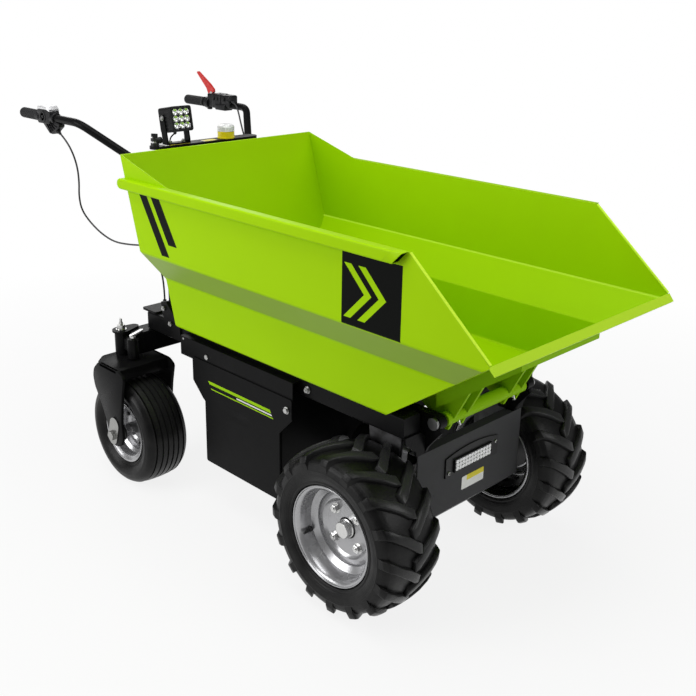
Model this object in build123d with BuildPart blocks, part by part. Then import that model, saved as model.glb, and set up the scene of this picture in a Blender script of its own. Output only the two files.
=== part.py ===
"""Electric walk-behind site dumper: tipping skip, two driven wheels, two swivelling casters.

Millimetres. +X is the way it travels and tips, +Y is its left side, +Z is up,
and the origin is on the ground under the middle of its overall length.
"""
from build123d import *
from math import cos, degrees, pi, radians, sin, sqrt, tan
import os

os.makedirs("parts", exist_ok=True)

SEAT = 0.3             # air where one piece rests on another
FIT = 0.05             # air round a shaft in its bore
WELD = 1               # how far welded pieces run into each other

SIDES = (("right", -1), ("left", 1))

# Skip: outside sizes. The section is constant along X; the back leans and the front is a chute.
tub_front_x = 881
tub_wall = 3
tub_floor_z = 476
tub_shoulder_low_z = 601
tub_shoulder_high_z = 681
tub_rail_z = 864
tub_back_z = 921
tub_low_half = 266
tub_high_half = 325.5
tub_bend = 9           # outside radius of the pressed bends
back_foot_x = -187
back_lean = 129 / 445  # how far the back leans out for each millimetre of height
chute_foot_x = 561
chute_end_x = 868
chute_end_z = 691
side_kink_x = 668
back_corner_run = 200
lip_low_z = 676

# Side rails of the skip
side_rail_width = 18
side_rail_height = 27
side_rail_rear_x = -299
side_rail_front_x = 636
side_rail_low_z = tub_rail_z - side_rail_height

# Hinge of the skip and what carries it
pivot_x = 622
pivot_z = 449
pivot_bar_radius = 10
pivot_tube_radius = 16
pivot_tube_half = 142
lug_ys = (-123, -77, 77, 123)
lug_thickness = 8
lug_rear_run = 36
lug_front_run = 15
lug_drop = 29
brace_rear_x = 600
brace_front_x = 811
brace_half = 143
brace_drop = 34
ear_inner_y = 149
ear_outer_y = 171
ear_radius = 17
bar_head_radius = 14
bar_head_length = 7

# Drive wheels
drive_x = 500
drive_radius = 197
drive_half_track = 287
drive_width = 173
lug_height = 12
lug_count = 16
bead_radius = 104
bead_half = 72
drive_rim_radius = 117
rim_sheet = 5
drive_disc_inset = 57
drive_disc = 8
hub_cap_radius = 21
hub_cap_length = 20

# Caster wheels
caster_x = -333
caster_radius = 152
caster_half_track = 302
caster_width = 130
caster_bead_radius = 76
caster_bead_half = 48
caster_rim_radius = 88
caster_rim_sheet = 4
caster_hub_radius = 19
caster_trail = 67
swivel_x = caster_x - caster_trail

# Frame
rail_centre_y = 209
rail_size = 50
rail_corner = 5
rail_low_z = 418
rail_rear_x = -369
rail_front_x = 591
cross_member_xs = (-344, -159, 191, 481)
gusset_sheet = 5

# Rear beam, caster heads and forks
beam_x = -379
beam_width = 60
beam_low_z = 356
beam_high_z = 417.7
head_radius = 19
kingpin_radius = 11
head_low_z = 355
cap_plate = 5
cap_radius = 25
cap_eye_radius = 14
cap_eye_offset = (-5, -43)
cap_nut_radius = 11
plunger_offset = 56
plunger_radius = 16
plunger_low_z = 356
plunger_high_z = 411
fork_top_z = 350
fork_sheet = 8
fork_leg_half = 80
fork_plate_rear_x = -428
fork_plate_front_x = -294
caster_axle_radius = 9
axle_nut_radius = 14
axle_nut = 8
dropout_sheet = 3

# Battery housing, covers and skirts
sheet = 3
housing_rear_x = -69
housing_front_x = 219
housing_low_z = 130
housing_high_z = 403.7
housing_half = 258
battery_size = (260, 480, 190)
cover_rear_x = -122
cover_front_x = 266
cover_high_z = 413
skirt_rear_x = -177
skirt_low_z = 404
skirt_high_z = 456
skirt_half = 257.5

# Front cover and light bar
front_cover_x = 593
front_cover_half = 190
front_cover_high_z = 367
front_cover_fold_z = 192
front_cover_low_z = 150
front_flange = 26
light_bar_z = 303
light_length = 138
light_height = 33
light_depth = 40
light_proud = 9
bezel_half = 96
bezel_low_drop = 24
bezel_high_rise = 24
bezel_arch = 12
bezel_sheet = 4

# Transaxle
axle_tube_radius = 32
axle_tube_half = 200
stub_radius = 17.5
hanger_inset = 11
hanger_sheet = 8
gear_case_radius = 62
gear_case_width = 110
motor_radius = 60
motor_length = 118

# Handlebar, console and what they carry
grip_end_x = -882
grip_front_x = -781.5
grip_half = 292
grip_z = 970
grip_radius = 15.5
grip_wall = 8
handle_radius = 11
handle_bend_x = -569
handle_bend_radius = 60
upright_x = -375
upright_half = 145
handle_low_z = 820
foot_sheet = 6
console_x = -394
console_depth = 66
console_low_z = 780
console_high_z = 909
console_bar = 8
console_bar_depth = 44
console_bar_half = 181
lamp_y = -97
lamp_z = 988
lamp_size = 68
lamp_tilt = 10
lamp_depth = 58
beacon_y = 74
beacon_radius = 25
beacon_height = 38
switch_y = -168
control_half = 16
cable_radius = 2.5
lead_radius = 2


def tub_back_x(z):
    """X of the outside of the leaning back at height z."""
    return back_foot_x - (z - tub_floor_z) * back_lean


def chute_under_z(x):
    """Height of the underside of the chute at x."""
    return tub_floor_z + (x - chute_foot_x) * chute_slope


def bend_radii(route):
    """Bend radii that join the straight runs of a cord by tangent arcs."""
    points = [Vector(*p) for p in route]
    radii = []
    for before, here, after in zip(points, points[1:], points[2:]):
        run_in = here - before
        run_out = after - here
        turn = run_in.get_angle(run_out)
        radii.append(0.45 * min(run_in.length, run_out.length) / tan(radians(turn) / 2))
    return radii


chute_slope = (chute_end_z - tub_floor_z) / (chute_end_x - chute_foot_x)
chute_rise = tub_wall * sqrt(1 + chute_slope**2)      # wall of the chute measured straight up
back_run = tub_wall * sqrt(1 + back_lean**2)          # wall of the back measured along X
back_top_x = tub_back_x(tub_back_z)
rail_mid_z = rail_low_z + rail_size / 2
rail_high_z = rail_low_z + rail_size
drive_half = drive_width / 2
caster_half = caster_width / 2

# ---------------------------------------------------------------- skip shell
reach = 60             # how far the cutting shapes run past the sheet
tub_section = [
    (tub_low_half, tub_floor_z),
    (tub_low_half, tub_shoulder_low_z),
    (tub_high_half, tub_shoulder_high_z),
    (tub_high_half, tub_back_z + reach),
    (-tub_high_half, tub_back_z + reach),
    (-tub_high_half, tub_shoulder_high_z),
    (-tub_low_half, tub_shoulder_low_z),
    (-tub_low_half, tub_floor_z),
]
tub_side = [
    (back_top_x, tub_back_z),
    (back_foot_x, tub_floor_z),
    (chute_foot_x, tub_floor_z),
    (chute_end_x, chute_end_z),
    (side_kink_x, tub_rail_z),
    (back_top_x + back_corner_run, tub_rail_z),
]
inside_side = [
    (tub_back_x(tub_back_z + reach) + back_run, tub_back_z + reach),
    (tub_back_x(tub_floor_z + tub_wall) + back_run, tub_floor_z + tub_wall),
    (chute_foot_x - (chute_rise - tub_wall) / chute_slope, tub_floor_z + tub_wall),
    (chute_end_x + reach, chute_end_z + chute_slope * reach + chute_rise),
    (chute_end_x + reach, tub_back_z + reach),
]
tub_length = chute_end_x - back_top_x
with BuildPart() as tub_shell:
    with BuildSketch(Plane.XZ.offset(-tub_high_half - reach)):
        with BuildLine():
            Polyline(tub_side, close=True)
        make_face()
        fillet(vertices().sort_by(Axis.Y)[0:2], tub_bend)
    extrude(amount=2 * (tub_high_half + reach))
    with BuildSketch(Plane.YZ.offset(back_top_x - reach)):
        with BuildLine():
            Polyline(tub_section, close=True)
        make_face()
        fillet(vertices().sort_by(Axis.Y)[0:6], tub_bend)
    extrude(amount=tub_length + 2 * reach, mode=Mode.INTERSECT)
    with BuildPart(mode=Mode.SUBTRACT):
        with BuildSketch(Plane.XZ.offset(-tub_high_half - reach)):
            with BuildLine():
                Polyline(inside_side, close=True)
            make_face()
            fillet(vertices().sort_by(Axis.Y)[0:2], tub_bend - tub_wall)
        extrude(amount=2 * (tub_high_half + reach))
        with BuildSketch(Plane.YZ.offset(back_top_x - reach)):
            with BuildLine():
                Polyline(tub_section, close=True)
            make_face()
            offset(amount=-tub_wall, kind=Kind.INTERSECTION)
            fillet(vertices().sort_by(Axis.Y)[0:6], tub_bend - tub_wall)
        extrude(amount=tub_length + 3 * reach, mode=Mode.INTERSECT)
    # The pouring lip: the end of the chute folded forwards and down over the full width.
    with BuildSketch(Plane.XZ.offset(-tub_high_half)):
        with BuildLine():
            Polyline(
                [
                    (chute_end_x - 2 * tub_wall, chute_under_z(chute_end_x - 2 * tub_wall)),
                    (chute_end_x - tub_wall, chute_under_z(chute_end_x - tub_wall) + chute_rise),
                    (chute_end_x + WELD, chute_end_z + chute_rise),
                    (tub_front_x, lip_low_z + tub_wall),
                    (tub_front_x - tub_wall, lip_low_z),
                    (chute_end_x - tub_wall, chute_end_z - tub_wall),
                ],
                close=True,
            )
        make_face()
    extrude(amount=2 * tub_high_half)
tub_shell.part.label = "tub_shell"

# ---------------------------------------------------------------- side rails: rounded behind, aslant in front
side_rail_mid_z = side_rail_low_z + side_rail_height / 2
with BuildPart() as tub_rails:
    for side, sign in SIDES:
        with BuildSketch(Plane.XZ.offset(-sign * (tub_high_half + side_rail_width / 2))):
            with BuildLine():
                front_low = (side_rail_front_x - side_rail_height, side_rail_low_z)
                Line((side_rail_rear_x, tub_rail_z), (side_rail_front_x, tub_rail_z))
                Line((side_rail_front_x, tub_rail_z), front_low)
                Line(front_low, (side_rail_rear_x, side_rail_low_z))
                ThreePointArc(
                    (side_rail_rear_x, side_rail_low_z),
                    (side_rail_rear_x - side_rail_height / 2, side_rail_mid_z),
                    (side_rail_rear_x, tub_rail_z),
                )
            make_face()
        extrude(amount=side_rail_width / 2, both=True)
    long_edges = tub_rails.edges().filter_by(Axis.X)
    fillet(long_edges.filter_by(lambda e: abs(e.center().Y) > tub_high_half + SEAT), side_rail_width / 4)
tub_rails.part.label = "tub_rails"

# ---------------------------------------------------------------- hinge bracket: brace, lugs and tube
# The brace is a long shallow pan below the chute; the lugs hang from it and hold the hinge tube.
inner_drop = brace_drop - chute_rise
with BuildPart() as pivot_lugs:
    with BuildSketch(Plane.XZ.offset(-brace_half)):
        with BuildLine():
            Polyline(
                [
                    (brace_rear_x, chute_under_z(brace_rear_x)),
                    (brace_front_x, chute_under_z(brace_front_x)),
                    (brace_front_x, chute_under_z(brace_front_x) - brace_drop),
                    (brace_rear_x, chute_under_z(brace_rear_x) - brace_drop),
                ],
                close=True,
            )
        make_face()
    extrude(amount=2 * brace_half)
    with BuildSketch(Plane.XZ.offset(-brace_half + tub_wall)):
        with BuildLine():
            Polyline(
                [
                    (brace_rear_x + tub_wall, chute_under_z(brace_rear_x + tub_wall)),
                    (brace_front_x - tub_wall, chute_under_z(brace_front_x - tub_wall)),
                    (brace_front_x - tub_wall, chute_under_z(brace_front_x - tub_wall) - inner_drop),
                    (brace_rear_x + tub_wall, chute_under_z(brace_rear_x + tub_wall) - inner_drop),
                ],
                close=True,
            )
        make_face()
    extrude(amount=2 * (brace_half - tub_wall), mode=Mode.SUBTRACT)
    lug_low_z = pivot_z - lug_drop
    lug_edge_x = pivot_x + lug_front_run
    for lug_y in lug_ys:
        with BuildSketch(Plane.XZ.offset(-lug_y)):
            with BuildLine():
                Polyline(
                    [
                        (chute_foot_x - lug_rear_run, tub_floor_z),
                        (pivot_x - ear_radius, lug_low_z + ear_radius / 2),
                        (pivot_x - ear_radius / 3, lug_low_z),
                        (pivot_x + WELD, lug_low_z),
                        (lug_edge_x, pivot_z),
                        (lug_edge_x + 39, pivot_z + 75),
                        (brace_rear_x + WELD, chute_under_z(brace_rear_x) - brace_drop + WELD),
                        (brace_rear_x, chute_under_z(brace_rear_x)),
                        (chute_foot_x, tub_floor_z),
                    ],
                    close=True,
                )
            make_face()
        extrude(amount=lug_thickness / 2, both=True)
    with BuildSketch(Plane.XZ.offset(-pivot_tube_half)):
        with Locations((pivot_x, pivot_z)):
            Circle(pivot_tube_radius)
    extrude(amount=2 * pivot_tube_half)
    with BuildSketch(Plane.XZ.offset(-pivot_tube_half)):
        with Locations((pivot_x, pivot_z)):
            Circle(pivot_bar_radius + FIT)
    extrude(amount=2 * pivot_tube_half, mode=Mode.SUBTRACT)
pivot_lugs.part.label = "pivot_lugs"

# ---------------------------------------------------------------- main frame
rail_inner_y = rail_centre_y - rail_size / 2
rail_outer_y = rail_centre_y + rail_size / 2
cross_half = rail_inner_y + WELD
with BuildPart() as main_frame:
    with BuildSketch(Plane.YZ.offset(rail_rear_x)):
        with Locations((-rail_centre_y, rail_mid_z), (rail_centre_y, rail_mid_z)):
            RectangleRounded(rail_size, rail_size, rail_corner)
    extrude(amount=rail_front_x - rail_rear_x)
    with BuildSketch(Plane.XZ.offset(-cross_half)):
        with Locations(*[(x, rail_mid_z) for x in cross_member_xs]):
            RectangleRounded(rail_size, rail_size, rail_corner)
    extrude(amount=2 * cross_half)
    for side, sign in SIDES:
        # hinge ear with its round nose, standing inside the front end of the rail
        ear_mid_y = sign * (ear_inner_y + ear_outer_y) / 2
        ear_rear_x = rail_front_x - rail_size
        with BuildSketch(Plane.XZ.offset(-ear_mid_y)):
            with Locations((pivot_x, pivot_z)):
                Circle(ear_radius)
            with Locations(((ear_rear_x + pivot_x) / 2, pivot_z)):
                Rectangle(pivot_x - ear_rear_x, 2 * ear_radius)
        extrude(amount=(ear_outer_y - ear_inner_y) / 2, both=True)
        with Locations((ear_rear_x + rail_size / 3, sign * (ear_outer_y + rail_inner_y) / 2, pivot_z)):
            Box(rail_size / 2, rail_inner_y - ear_outer_y + 2 * WELD, 2 * ear_radius - 2 * WELD)
        # gusset in front of the rail end that the front cover hangs from
        with BuildSketch(Plane.YZ.offset(rail_front_x - WELD)):
            with BuildLine():
                low_z = front_cover_high_z + SEAT
                Polyline(
                    [
                        (sign * (rail_inner_y - 15), low_z),
                        (sign * (rail_inner_y - 17), low_z + 42),
                        (sign * (rail_inner_y + 1), rail_low_z + rail_corner),
                        (sign * rail_outer_y, rail_low_z + rail_corner),
                        (sign * (rail_outer_y - 3), rail_low_z - 12),
                        (sign * (rail_inner_y + 13), low_z + 12),
                        (sign * (rail_inner_y + 11), low_z),
                    ],
                    close=True,
                )
            make_face()
        extrude(amount=gusset_sheet + WELD)
        # bracket plate on the outside of the rail's rear end, leaning back like the skip
        with BuildSketch(Plane.XZ.offset(-sign * rail_outer_y)):
            with BuildLine():
                Polyline(
                    [
                        (rail_rear_x + 76, rail_high_z + 48),
                        (rail_rear_x + 99, rail_high_z + 52),
                        (rail_rear_x + 160, rail_high_z),
                        (rail_rear_x + 160, rail_low_z + rail_corner),
                        (rail_rear_x + 122, rail_low_z + rail_corner),
                        (rail_rear_x + 80, rail_high_z + 16),
                    ],
                    close=True,
                )
            make_face()
        extrude(amount=gusset_sheet, both=True)
    with BuildSketch(Plane.XZ.offset(-ear_outer_y)):
        with Locations((pivot_x, pivot_z)):
            Circle(pivot_bar_radius + FIT)
    extrude(amount=2 * ear_outer_y, mode=Mode.SUBTRACT)
main_frame.part.label = "main_frame"

with BuildPart() as pivot_bar:
    with Locations((pivot_x, 0, pivot_z)):
        Cylinder(pivot_bar_radius, 2 * (ear_outer_y + SEAT + WELD), rotation=(90, 0, 0))
    for side, sign in SIDES:
        with Locations((pivot_x, sign * (ear_outer_y + SEAT + bar_head_length / 2), pivot_z)):
            Cylinder(bar_head_radius, bar_head_length, rotation=(90, 0, 0))
pivot_bar.part.label = "pivot_bar"

# ---------------------------------------------------------------- rear beam, caster heads and lock tubes
head_mid_z = (head_low_z + beam_high_z) / 2
beam_half = caster_half_track - 0.7 * head_radius
with BuildPart() as rear_beam:
    with BuildSketch(Plane.XZ.offset(-beam_half)):
        with Locations((beam_x, (beam_low_z + beam_high_z) / 2)):
            RectangleRounded(beam_width, beam_high_z - beam_low_z, rail_corner)
    extrude(amount=2 * beam_half)
    for side, sign in SIDES:
        head_y = sign * caster_half_track
        with Locations((swivel_x, head_y, head_mid_z)):
            Cylinder(head_radius, beam_high_z - head_low_z)
        with Locations((swivel_x + plunger_offset, head_y, (plunger_low_z + plunger_high_z) / 2)):
            Cylinder(plunger_radius, plunger_high_z - plunger_low_z)
        # webs that join beam, head and lock tube
        with Locations((swivel_x + (kingpin_radius + plunger_offset) / 2 + WELD, head_y, head_mid_z)):
            Box(plunger_offset - kingpin_radius, head_radius / 2, (beam_high_z - head_low_z) / 2)
        with Locations((beam_x + beam_width / 10, head_y - sign * head_radius, head_mid_z)):
            Box(0.4 * beam_width, 2 * head_radius, (beam_high_z - head_low_z) * 0.7)
    for side, sign in SIDES:
        with Locations((swivel_x, sign * caster_half_track, head_mid_z)):
            Cylinder(kingpin_radius + FIT, beam_high_z - head_low_z, mode=Mode.SUBTRACT)
rear_beam.part.label = "rear_beam"

with BuildPart() as head_caps:
    for side, sign in SIDES:
        head_y = sign * caster_half_track
        cap_low_z = beam_high_z + SEAT
        with BuildSketch(Plane.XY.offset(cap_low_z)):
            with Locations((swivel_x, head_y)):
                Circle(cap_radius)
            with Locations((swivel_x + cap_eye_offset[0], head_y + sign * cap_eye_offset[1])):
                Circle(cap_eye_radius)
            make_hull()
        extrude(amount=cap_plate)
        # washer, nut and grease nipple stand on the plate
        for stand_radius, stand_low, stand_high in (
            (cap_nut_radius + 4, 0, 2),
            (cap_nut_radius, 2, 14),
            (cap_nut_radius / 2, 14, 22),
            (cap_nut_radius / 3, 22, 32),
        ):
            with BuildSketch(Plane.XY.offset(cap_low_z + cap_plate + stand_low)):
                with Locations((swivel_x, head_y)):
                    Circle(stand_radius)
            extrude(amount=stand_high - stand_low)
head_caps.part.label = "head_caps"

handle_low = plunger_high_z + SEAT
with BuildPart() as plunger_handles:
    for side, sign in SIDES:
        head_y = sign * caster_half_track
        lever_origin = (swivel_x + plunger_offset, head_y, handle_low)
        lever_plane = Plane(lever_origin, x_dir=(-0.4, -0.92 * sign, 0), z_dir=(0, 0, 1))
        with BuildSketch(lever_plane):
            Circle(plunger_radius / 2)
        extrude(amount=9)
        with BuildSketch(lever_plane.offset(8)):
            with Locations((18, 0)):
                SlotOverall(60, 9)
        extrude(amount=4)
plunger_handles.part.label = "plunger_handles"

# ---------------------------------------------------------------- battery housing, covers and skirts
housing_mid_x = (housing_rear_x + housing_front_x) / 2
with BuildPart() as battery_housing:
    with BuildSketch(Plane.XY.offset(housing_low_z)):
        with Locations((housing_mid_x, 0)):
            RectangleRounded(housing_front_x - housing_rear_x, 2 * housing_half, 2 * sheet)
    extrude(amount=housing_high_z - housing_low_z)
    with BuildSketch(Plane.XY.offset(housing_low_z + sheet)):
        with Locations((housing_mid_x, 0)):
            RectangleRounded(housing_front_x - housing_rear_x - 2 * sheet, 2 * (housing_half - sheet), sheet)
    extrude(amount=housing_high_z - housing_low_z - 2 * sheet, mode=Mode.SUBTRACT)
battery_housing.part.label = "battery_housing"

with BuildPart() as battery_pack:
    with Locations((housing_mid_x, 0, housing_low_z + sheet + battery_size[2] / 2)):
        Box(*battery_size)
battery_pack.part.label = "battery_pack"

# A flat cover on each side, wider above, where it steps out in front and behind.
cover_low = housing_low_z + WELD
cover_outline = [
    (cover_rear_x, cover_high_z),
    (cover_rear_x, cover_high_z - 65),
    (housing_rear_x - 11, cover_high_z - 106),
    (housing_rear_x - sheet, cover_high_z - 110),
    (housing_rear_x - sheet, cover_low),
    (housing_front_x + sheet, cover_low),
    (housing_front_x + sheet, cover_high_z - 98),
    (cover_front_x, cover_high_z - 52),
    (cover_front_x, cover_high_z),
]
with BuildPart() as side_covers:
    for side, sign in SIDES:
        with BuildSketch(Plane.XZ.offset(-sign * (skirt_half + SEAT + sheet + sheet / 2))):
            with BuildLine():
                Polyline(cover_outline, close=True)
            make_face()
            fillet(vertices(), 2 * sheet)
        extrude(amount=sheet / 2, both=True)
side_covers.part.label = "side_covers"

# Skirts: channels on the outside of the rails that the covers hang from.
with BuildPart() as side_skirts:
    for side, sign in SIDES:
        with BuildSketch(Plane.YZ.offset(skirt_rear_x)):
            with BuildLine():
                Polyline(
                    [
                        (sign * (rail_outer_y + SEAT), skirt_high_z),
                        (sign * (skirt_half + sheet), skirt_high_z),
                        (sign * (skirt_half + sheet), skirt_low_z),
                        (sign * skirt_half, skirt_low_z),
                        (sign * skirt_half, skirt_high_z - sheet),
                        (sign * (rail_outer_y + SEAT), skirt_high_z - sheet),
                    ],
                    close=True,
                )
            make_face()
        extrude(amount=cover_front_x - skirt_rear_x)
side_skirts.part.label = "side_skirts"

# ---------------------------------------------------------------- front cover and light bar
cover_face_x = front_cover_x + sheet
fold_run = front_cover_fold_z - front_cover_low_z
window_gap = 2 * SEAT
with BuildPart() as front_cover:
    with BuildSketch(Plane.XZ.offset(-front_cover_half)):
        with BuildLine():
            Polyline(
                [
                    (cover_face_x - front_flange, front_cover_high_z),
                    (cover_face_x, front_cover_high_z),
                    (cover_face_x, front_cover_fold_z),
                    (cover_face_x - fold_run, front_cover_low_z),
                    (cover_face_x - fold_run - sheet, front_cover_low_z + sheet),
                    (front_cover_x, front_cover_fold_z + sheet / 2),
                    (front_cover_x, front_cover_high_z - sheet),
                    (cover_face_x - front_flange, front_cover_high_z - sheet),
                ],
                close=True,
            )
        make_face()
    extrude(amount=2 * front_cover_half)
    with BuildSketch(Plane.YZ.offset(front_cover_x - WELD)):
        with Locations((0, light_bar_z)):
            Rectangle(light_length + 2 * window_gap, light_height + 2 * window_gap)
    extrude(amount=sheet + 2 * WELD, mode=Mode.SUBTRACT)
front_cover.part.label = "front_cover"

with BuildPart() as light_bar:
    with BuildSketch(Plane.YZ.offset(cover_face_x + light_proud - light_depth)):
        with Locations((0, light_bar_z)):
            Rectangle(light_length, light_height)
    extrude(amount=light_depth)
    # recess that the clear window lies in
    with BuildSketch(Plane.YZ.offset(cover_face_x + light_proud - sheet)):
        with Locations((0, light_bar_z)):
            Rectangle(light_length - 2 * sheet, light_height - 2 * sheet)
    extrude(amount=sheet, mode=Mode.SUBTRACT)
    # bezel with an arched top edge
    with BuildSketch(Plane.YZ.offset(cover_face_x + SEAT)):
        with BuildLine():
            low = light_bar_z - bezel_low_drop
            high = light_bar_z + bezel_high_rise
            Line((-bezel_half, high), (-bezel_half, low))
            Line((-bezel_half, low), (bezel_half, low))
            Line((bezel_half, low), (bezel_half, high))
            ThreePointArc((bezel_half, high), (0, high + bezel_arch), (-bezel_half, high))
        make_face()
    extrude(amount=bezel_sheet)
light_bar.part.label = "light_bar"

# ---------------------------------------------------------------- transaxle between the drive wheels
hanger_y = axle_tube_half - hanger_inset
motor_z = drive_radius + 20
with BuildPart() as transaxle:
    with Locations((drive_x, 0, drive_radius)):
        Cylinder(axle_tube_radius, 2 * axle_tube_half, rotation=(90, 0, 0))
        Cylinder(gear_case_radius, gear_case_width, rotation=(90, 0, 0))
    for end in (-1, 1):
        with Locations((drive_x, end * (gear_case_width / 2 + 6), drive_radius)):
            Cylinder(axle_tube_radius + 14, 14, rotation=(90, 0, 0))
    with BuildSketch(Plane.YZ.offset(drive_x - 2 * gear_case_radius)):
        with Locations((0, motor_z)):
            RectangleRounded(0.8 * gear_case_width, gear_case_width, 12)
    extrude(amount=gear_case_radius + WELD)
    for side, sign in SIDES:
        with BuildSketch(Plane.XZ.offset(-sign * hanger_y)):
            with BuildLine():
                Polyline(
                    [
                        (drive_x - 1.6 * axle_tube_radius, rail_low_z - SEAT),
                        (drive_x + 1.6 * axle_tube_radius, rail_low_z - SEAT),
                        (drive_x + axle_tube_radius - WELD, drive_radius),
                        (drive_x - axle_tube_radius + WELD, drive_radius),
                    ],
                    close=True,
                )
            make_face()
        extrude(amount=hanger_sheet / 2, both=True)
    for side, sign in SIDES:
        with Locations((drive_x, sign * (axle_tube_half - rail_size / 2), drive_radius)):
            Cylinder(stub_radius + FIT, rail_size, rotation=(90, 0, 0), mode=Mode.SUBTRACT)
transaxle.part.label = "transaxle"

with BuildPart() as drive_motor:
    with Locations((drive_x - 2 * gear_case_radius - SEAT - motor_length / 2, 0, motor_z)):
        Cylinder(motor_radius, motor_length, rotation=(0, 90, 0))
drive_motor.part.label = "drive_motor"

# ---------------------------------------------------------------- rubber buffers under the skip
with BuildPart() as tub_buffers:
    for side, sign in SIDES:
        for buffer_x in (back_foot_x + 80, chute_foot_x - 250):
            with Locations((buffer_x, sign * rail_centre_y, (rail_high_z + tub_floor_z) / 2)):
                Box(rail_size, 0.7 * rail_size, tub_floor_z - rail_high_z - 2 * SEAT)
tub_buffers.part.label = "tub_buffers"

# ---------------------------------------------------------------- handlebar and its feet
foot_top_z = rail_high_z + SEAT + foot_sheet
cable_foot = (upright_x - 13, upright_half + 18)
gland_height = 8
with BuildPart() as handle_tubes:
    for side, sign in SIDES:
        with BuildLine() as handle_line:
            FilletPolyline(
                (grip_end_x + grip_wall + SEAT, sign * grip_half, grip_z),
                (handle_bend_x, sign * grip_half, grip_z),
                (upright_x, sign * upright_half, handle_low_z),
                (upright_x, sign * upright_half, foot_top_z + SEAT),
                radius=handle_bend_radius,
            )
        with BuildSketch(Plane(handle_line.line @ 0, z_dir=handle_line.line % 0)):
            Circle(handle_radius)
        sweep()
handle_tubes.part.label = "handle_tubes"

with BuildPart() as upright_feet:
    for side, sign in SIDES:
        with BuildSketch(Plane.XY.offset(rail_high_z + SEAT)):
            with Locations((upright_x + 12, sign * (upright_half + rail_outer_y) / 2 - sign * 6)):
                RectangleRounded(64, rail_outer_y - upright_half + 12, 6)
        extrude(amount=foot_sheet)
        with BuildSketch(Plane.XY.offset(foot_top_z)):
            with Locations((cable_foot[0], sign * cable_foot[1])):
                Circle(2 * cable_radius)
        extrude(amount=gland_height)
upright_feet.part.label = "upright_feet"

with BuildPart() as grips:
    for side, sign in SIDES:
        with BuildSketch(Plane.YZ.offset(grip_end_x)):
            with Locations((sign * grip_half, grip_z)):
                Circle(grip_radius)
        extrude(amount=grip_front_x - grip_end_x)
    fillet(grips.faces().filter_by(Plane.YZ).group_by(Axis.X)[0].edges(), grip_radius / 4)
    for side, sign in SIDES:
        with BuildSketch(Plane.YZ.offset(grip_end_x + grip_wall)):
            with Locations((sign * grip_half, grip_z)):
                Circle(handle_radius + FIT)
        extrude(amount=grip_front_x - grip_end_x, mode=Mode.SUBTRACT)
grips.part.label = "grips"

# ---------------------------------------------------------------- routes of the cables and the lamp's lead
throttle_route = [
    (-676, -291, 929),
    (-654, -290, 916),
    (-629, -286, 888),
    (-616, -280, 846),
    (-622, -274, 800),
    (-640, -268, 755),
    (-645, -260, 714),
    (-624, -250, 682),
    (-586, -238, 652),
    (-546, -220, 630),
    (-500, -198, 627),
    (-456, -176, 630),
    (-420, -166, 606),
    (-396, -164, 565),
    (-388, -163, 520),
    (-388, -163, 482.3),
]
brake_route = [
    (-624, 278, 984),
    (-603, 277, 980),
    (-583, 271, 958),
    (-560, 261, 928),
    (-528, 246, 898),
    (-492, 228, 866),
    (-456, 208, 828),
    (-428, 190, 780),
    (-410, 177, 726),
    (-400, 169, 670),
    (-396, 164, 612),
    (-392, 163, 558),
    (-388, 163, 514),
    (-388, 163, 482.3),
]
lead_route = [
    (-399, -100, 944),
    (-406, -104, 937),
    (-411, -107, 928),
    (-411, -107, 917),
]


def ferrule(route, radius, length):
    """Short sleeve that a cord comes out of."""
    start = Vector(*route[0])
    with BuildPart(mode=Mode.PRIVATE) as sleeve:
        with BuildSketch(Plane(start, z_dir=Vector(*route[1]) - start)):
            Circle(radius)
        extrude(amount=-length)
    return sleeve.part


# ---------------------------------------------------------------- controls on the handlebar
# Throttle: a clamp round the tube behind the grip, with a ribbed body below it.
control_x = grip_front_x + SEAT
tube_run = handle_bend_x - grip_front_x
with BuildPart() as throttle_housing:
    with BuildSketch(Plane.XZ.offset(grip_half)):
        with BuildLine():
            Polyline(
                [
                    (control_x, grip_z + 21),
                    (control_x + 99, grip_z + 30),
                    (control_x + 137, grip_z + 28),
                    (control_x + 131, grip_z - 11),
                    (control_x + 101, grip_z - 40),
                    (control_x + 70, grip_z - 44),
                    (control_x + 35, grip_z - 15),
                    (control_x, grip_z - 14),
                ],
                close=True,
            )
        make_face()
        fillet(vertices(), control_half / 4)
    extrude(amount=control_half, both=True)
    rib_plane = Plane((control_x + 86, -grip_half, grip_z - 42), x_dir=(1, 0, 0.13), z_dir=(0, 1, 0))
    with BuildSketch(rib_plane):
        with GridLocations(10, 0, 4, 1):
            Rectangle(4, 10)
    extrude(amount=2 * control_half, both=True, mode=Mode.SUBTRACT)
    add(ferrule(throttle_route, 1.6 * cable_radius, control_half))
    with BuildSketch(Plane.YZ.offset(grip_front_x)):
        with Locations((-grip_half, grip_z)):
            Circle(handle_radius + FIT)
    extrude(amount=tube_run, mode=Mode.SUBTRACT)
throttle_housing.part.label = "throttle_housing"

# Switch housing clamped round the left tube; the brake lever turns on top of it.
box_x = grip_front_x + 11.5
with BuildPart() as control_box:
    with BuildSketch(Plane.XZ.offset(-grip_half)):
        with BuildLine():
            Polyline(
                [
                    (box_x, grip_z + 22),
                    (box_x + 43, grip_z + 35),
                    (box_x + 141, grip_z + 34),
                    (box_x + 140, grip_z + 3),
                    (box_x + 129, grip_z - 11),
                    (box_x + 67, grip_z - 17),
                    (box_x + 35, grip_z - 17),
                ],
                close=True,
            )
        make_face()
        fillet(vertices(), control_half / 4)
    extrude(amount=control_half + 6, both=True)
    add(ferrule(brake_route, 1.6 * cable_radius, control_half))
    with BuildSketch(Plane.YZ.offset(grip_front_x)):
        with Locations((grip_half, grip_z)):
            Circle(handle_radius + FIT)
    extrude(amount=tube_run, mode=Mode.SUBTRACT)
control_box.part.label = "control_box"

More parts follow.
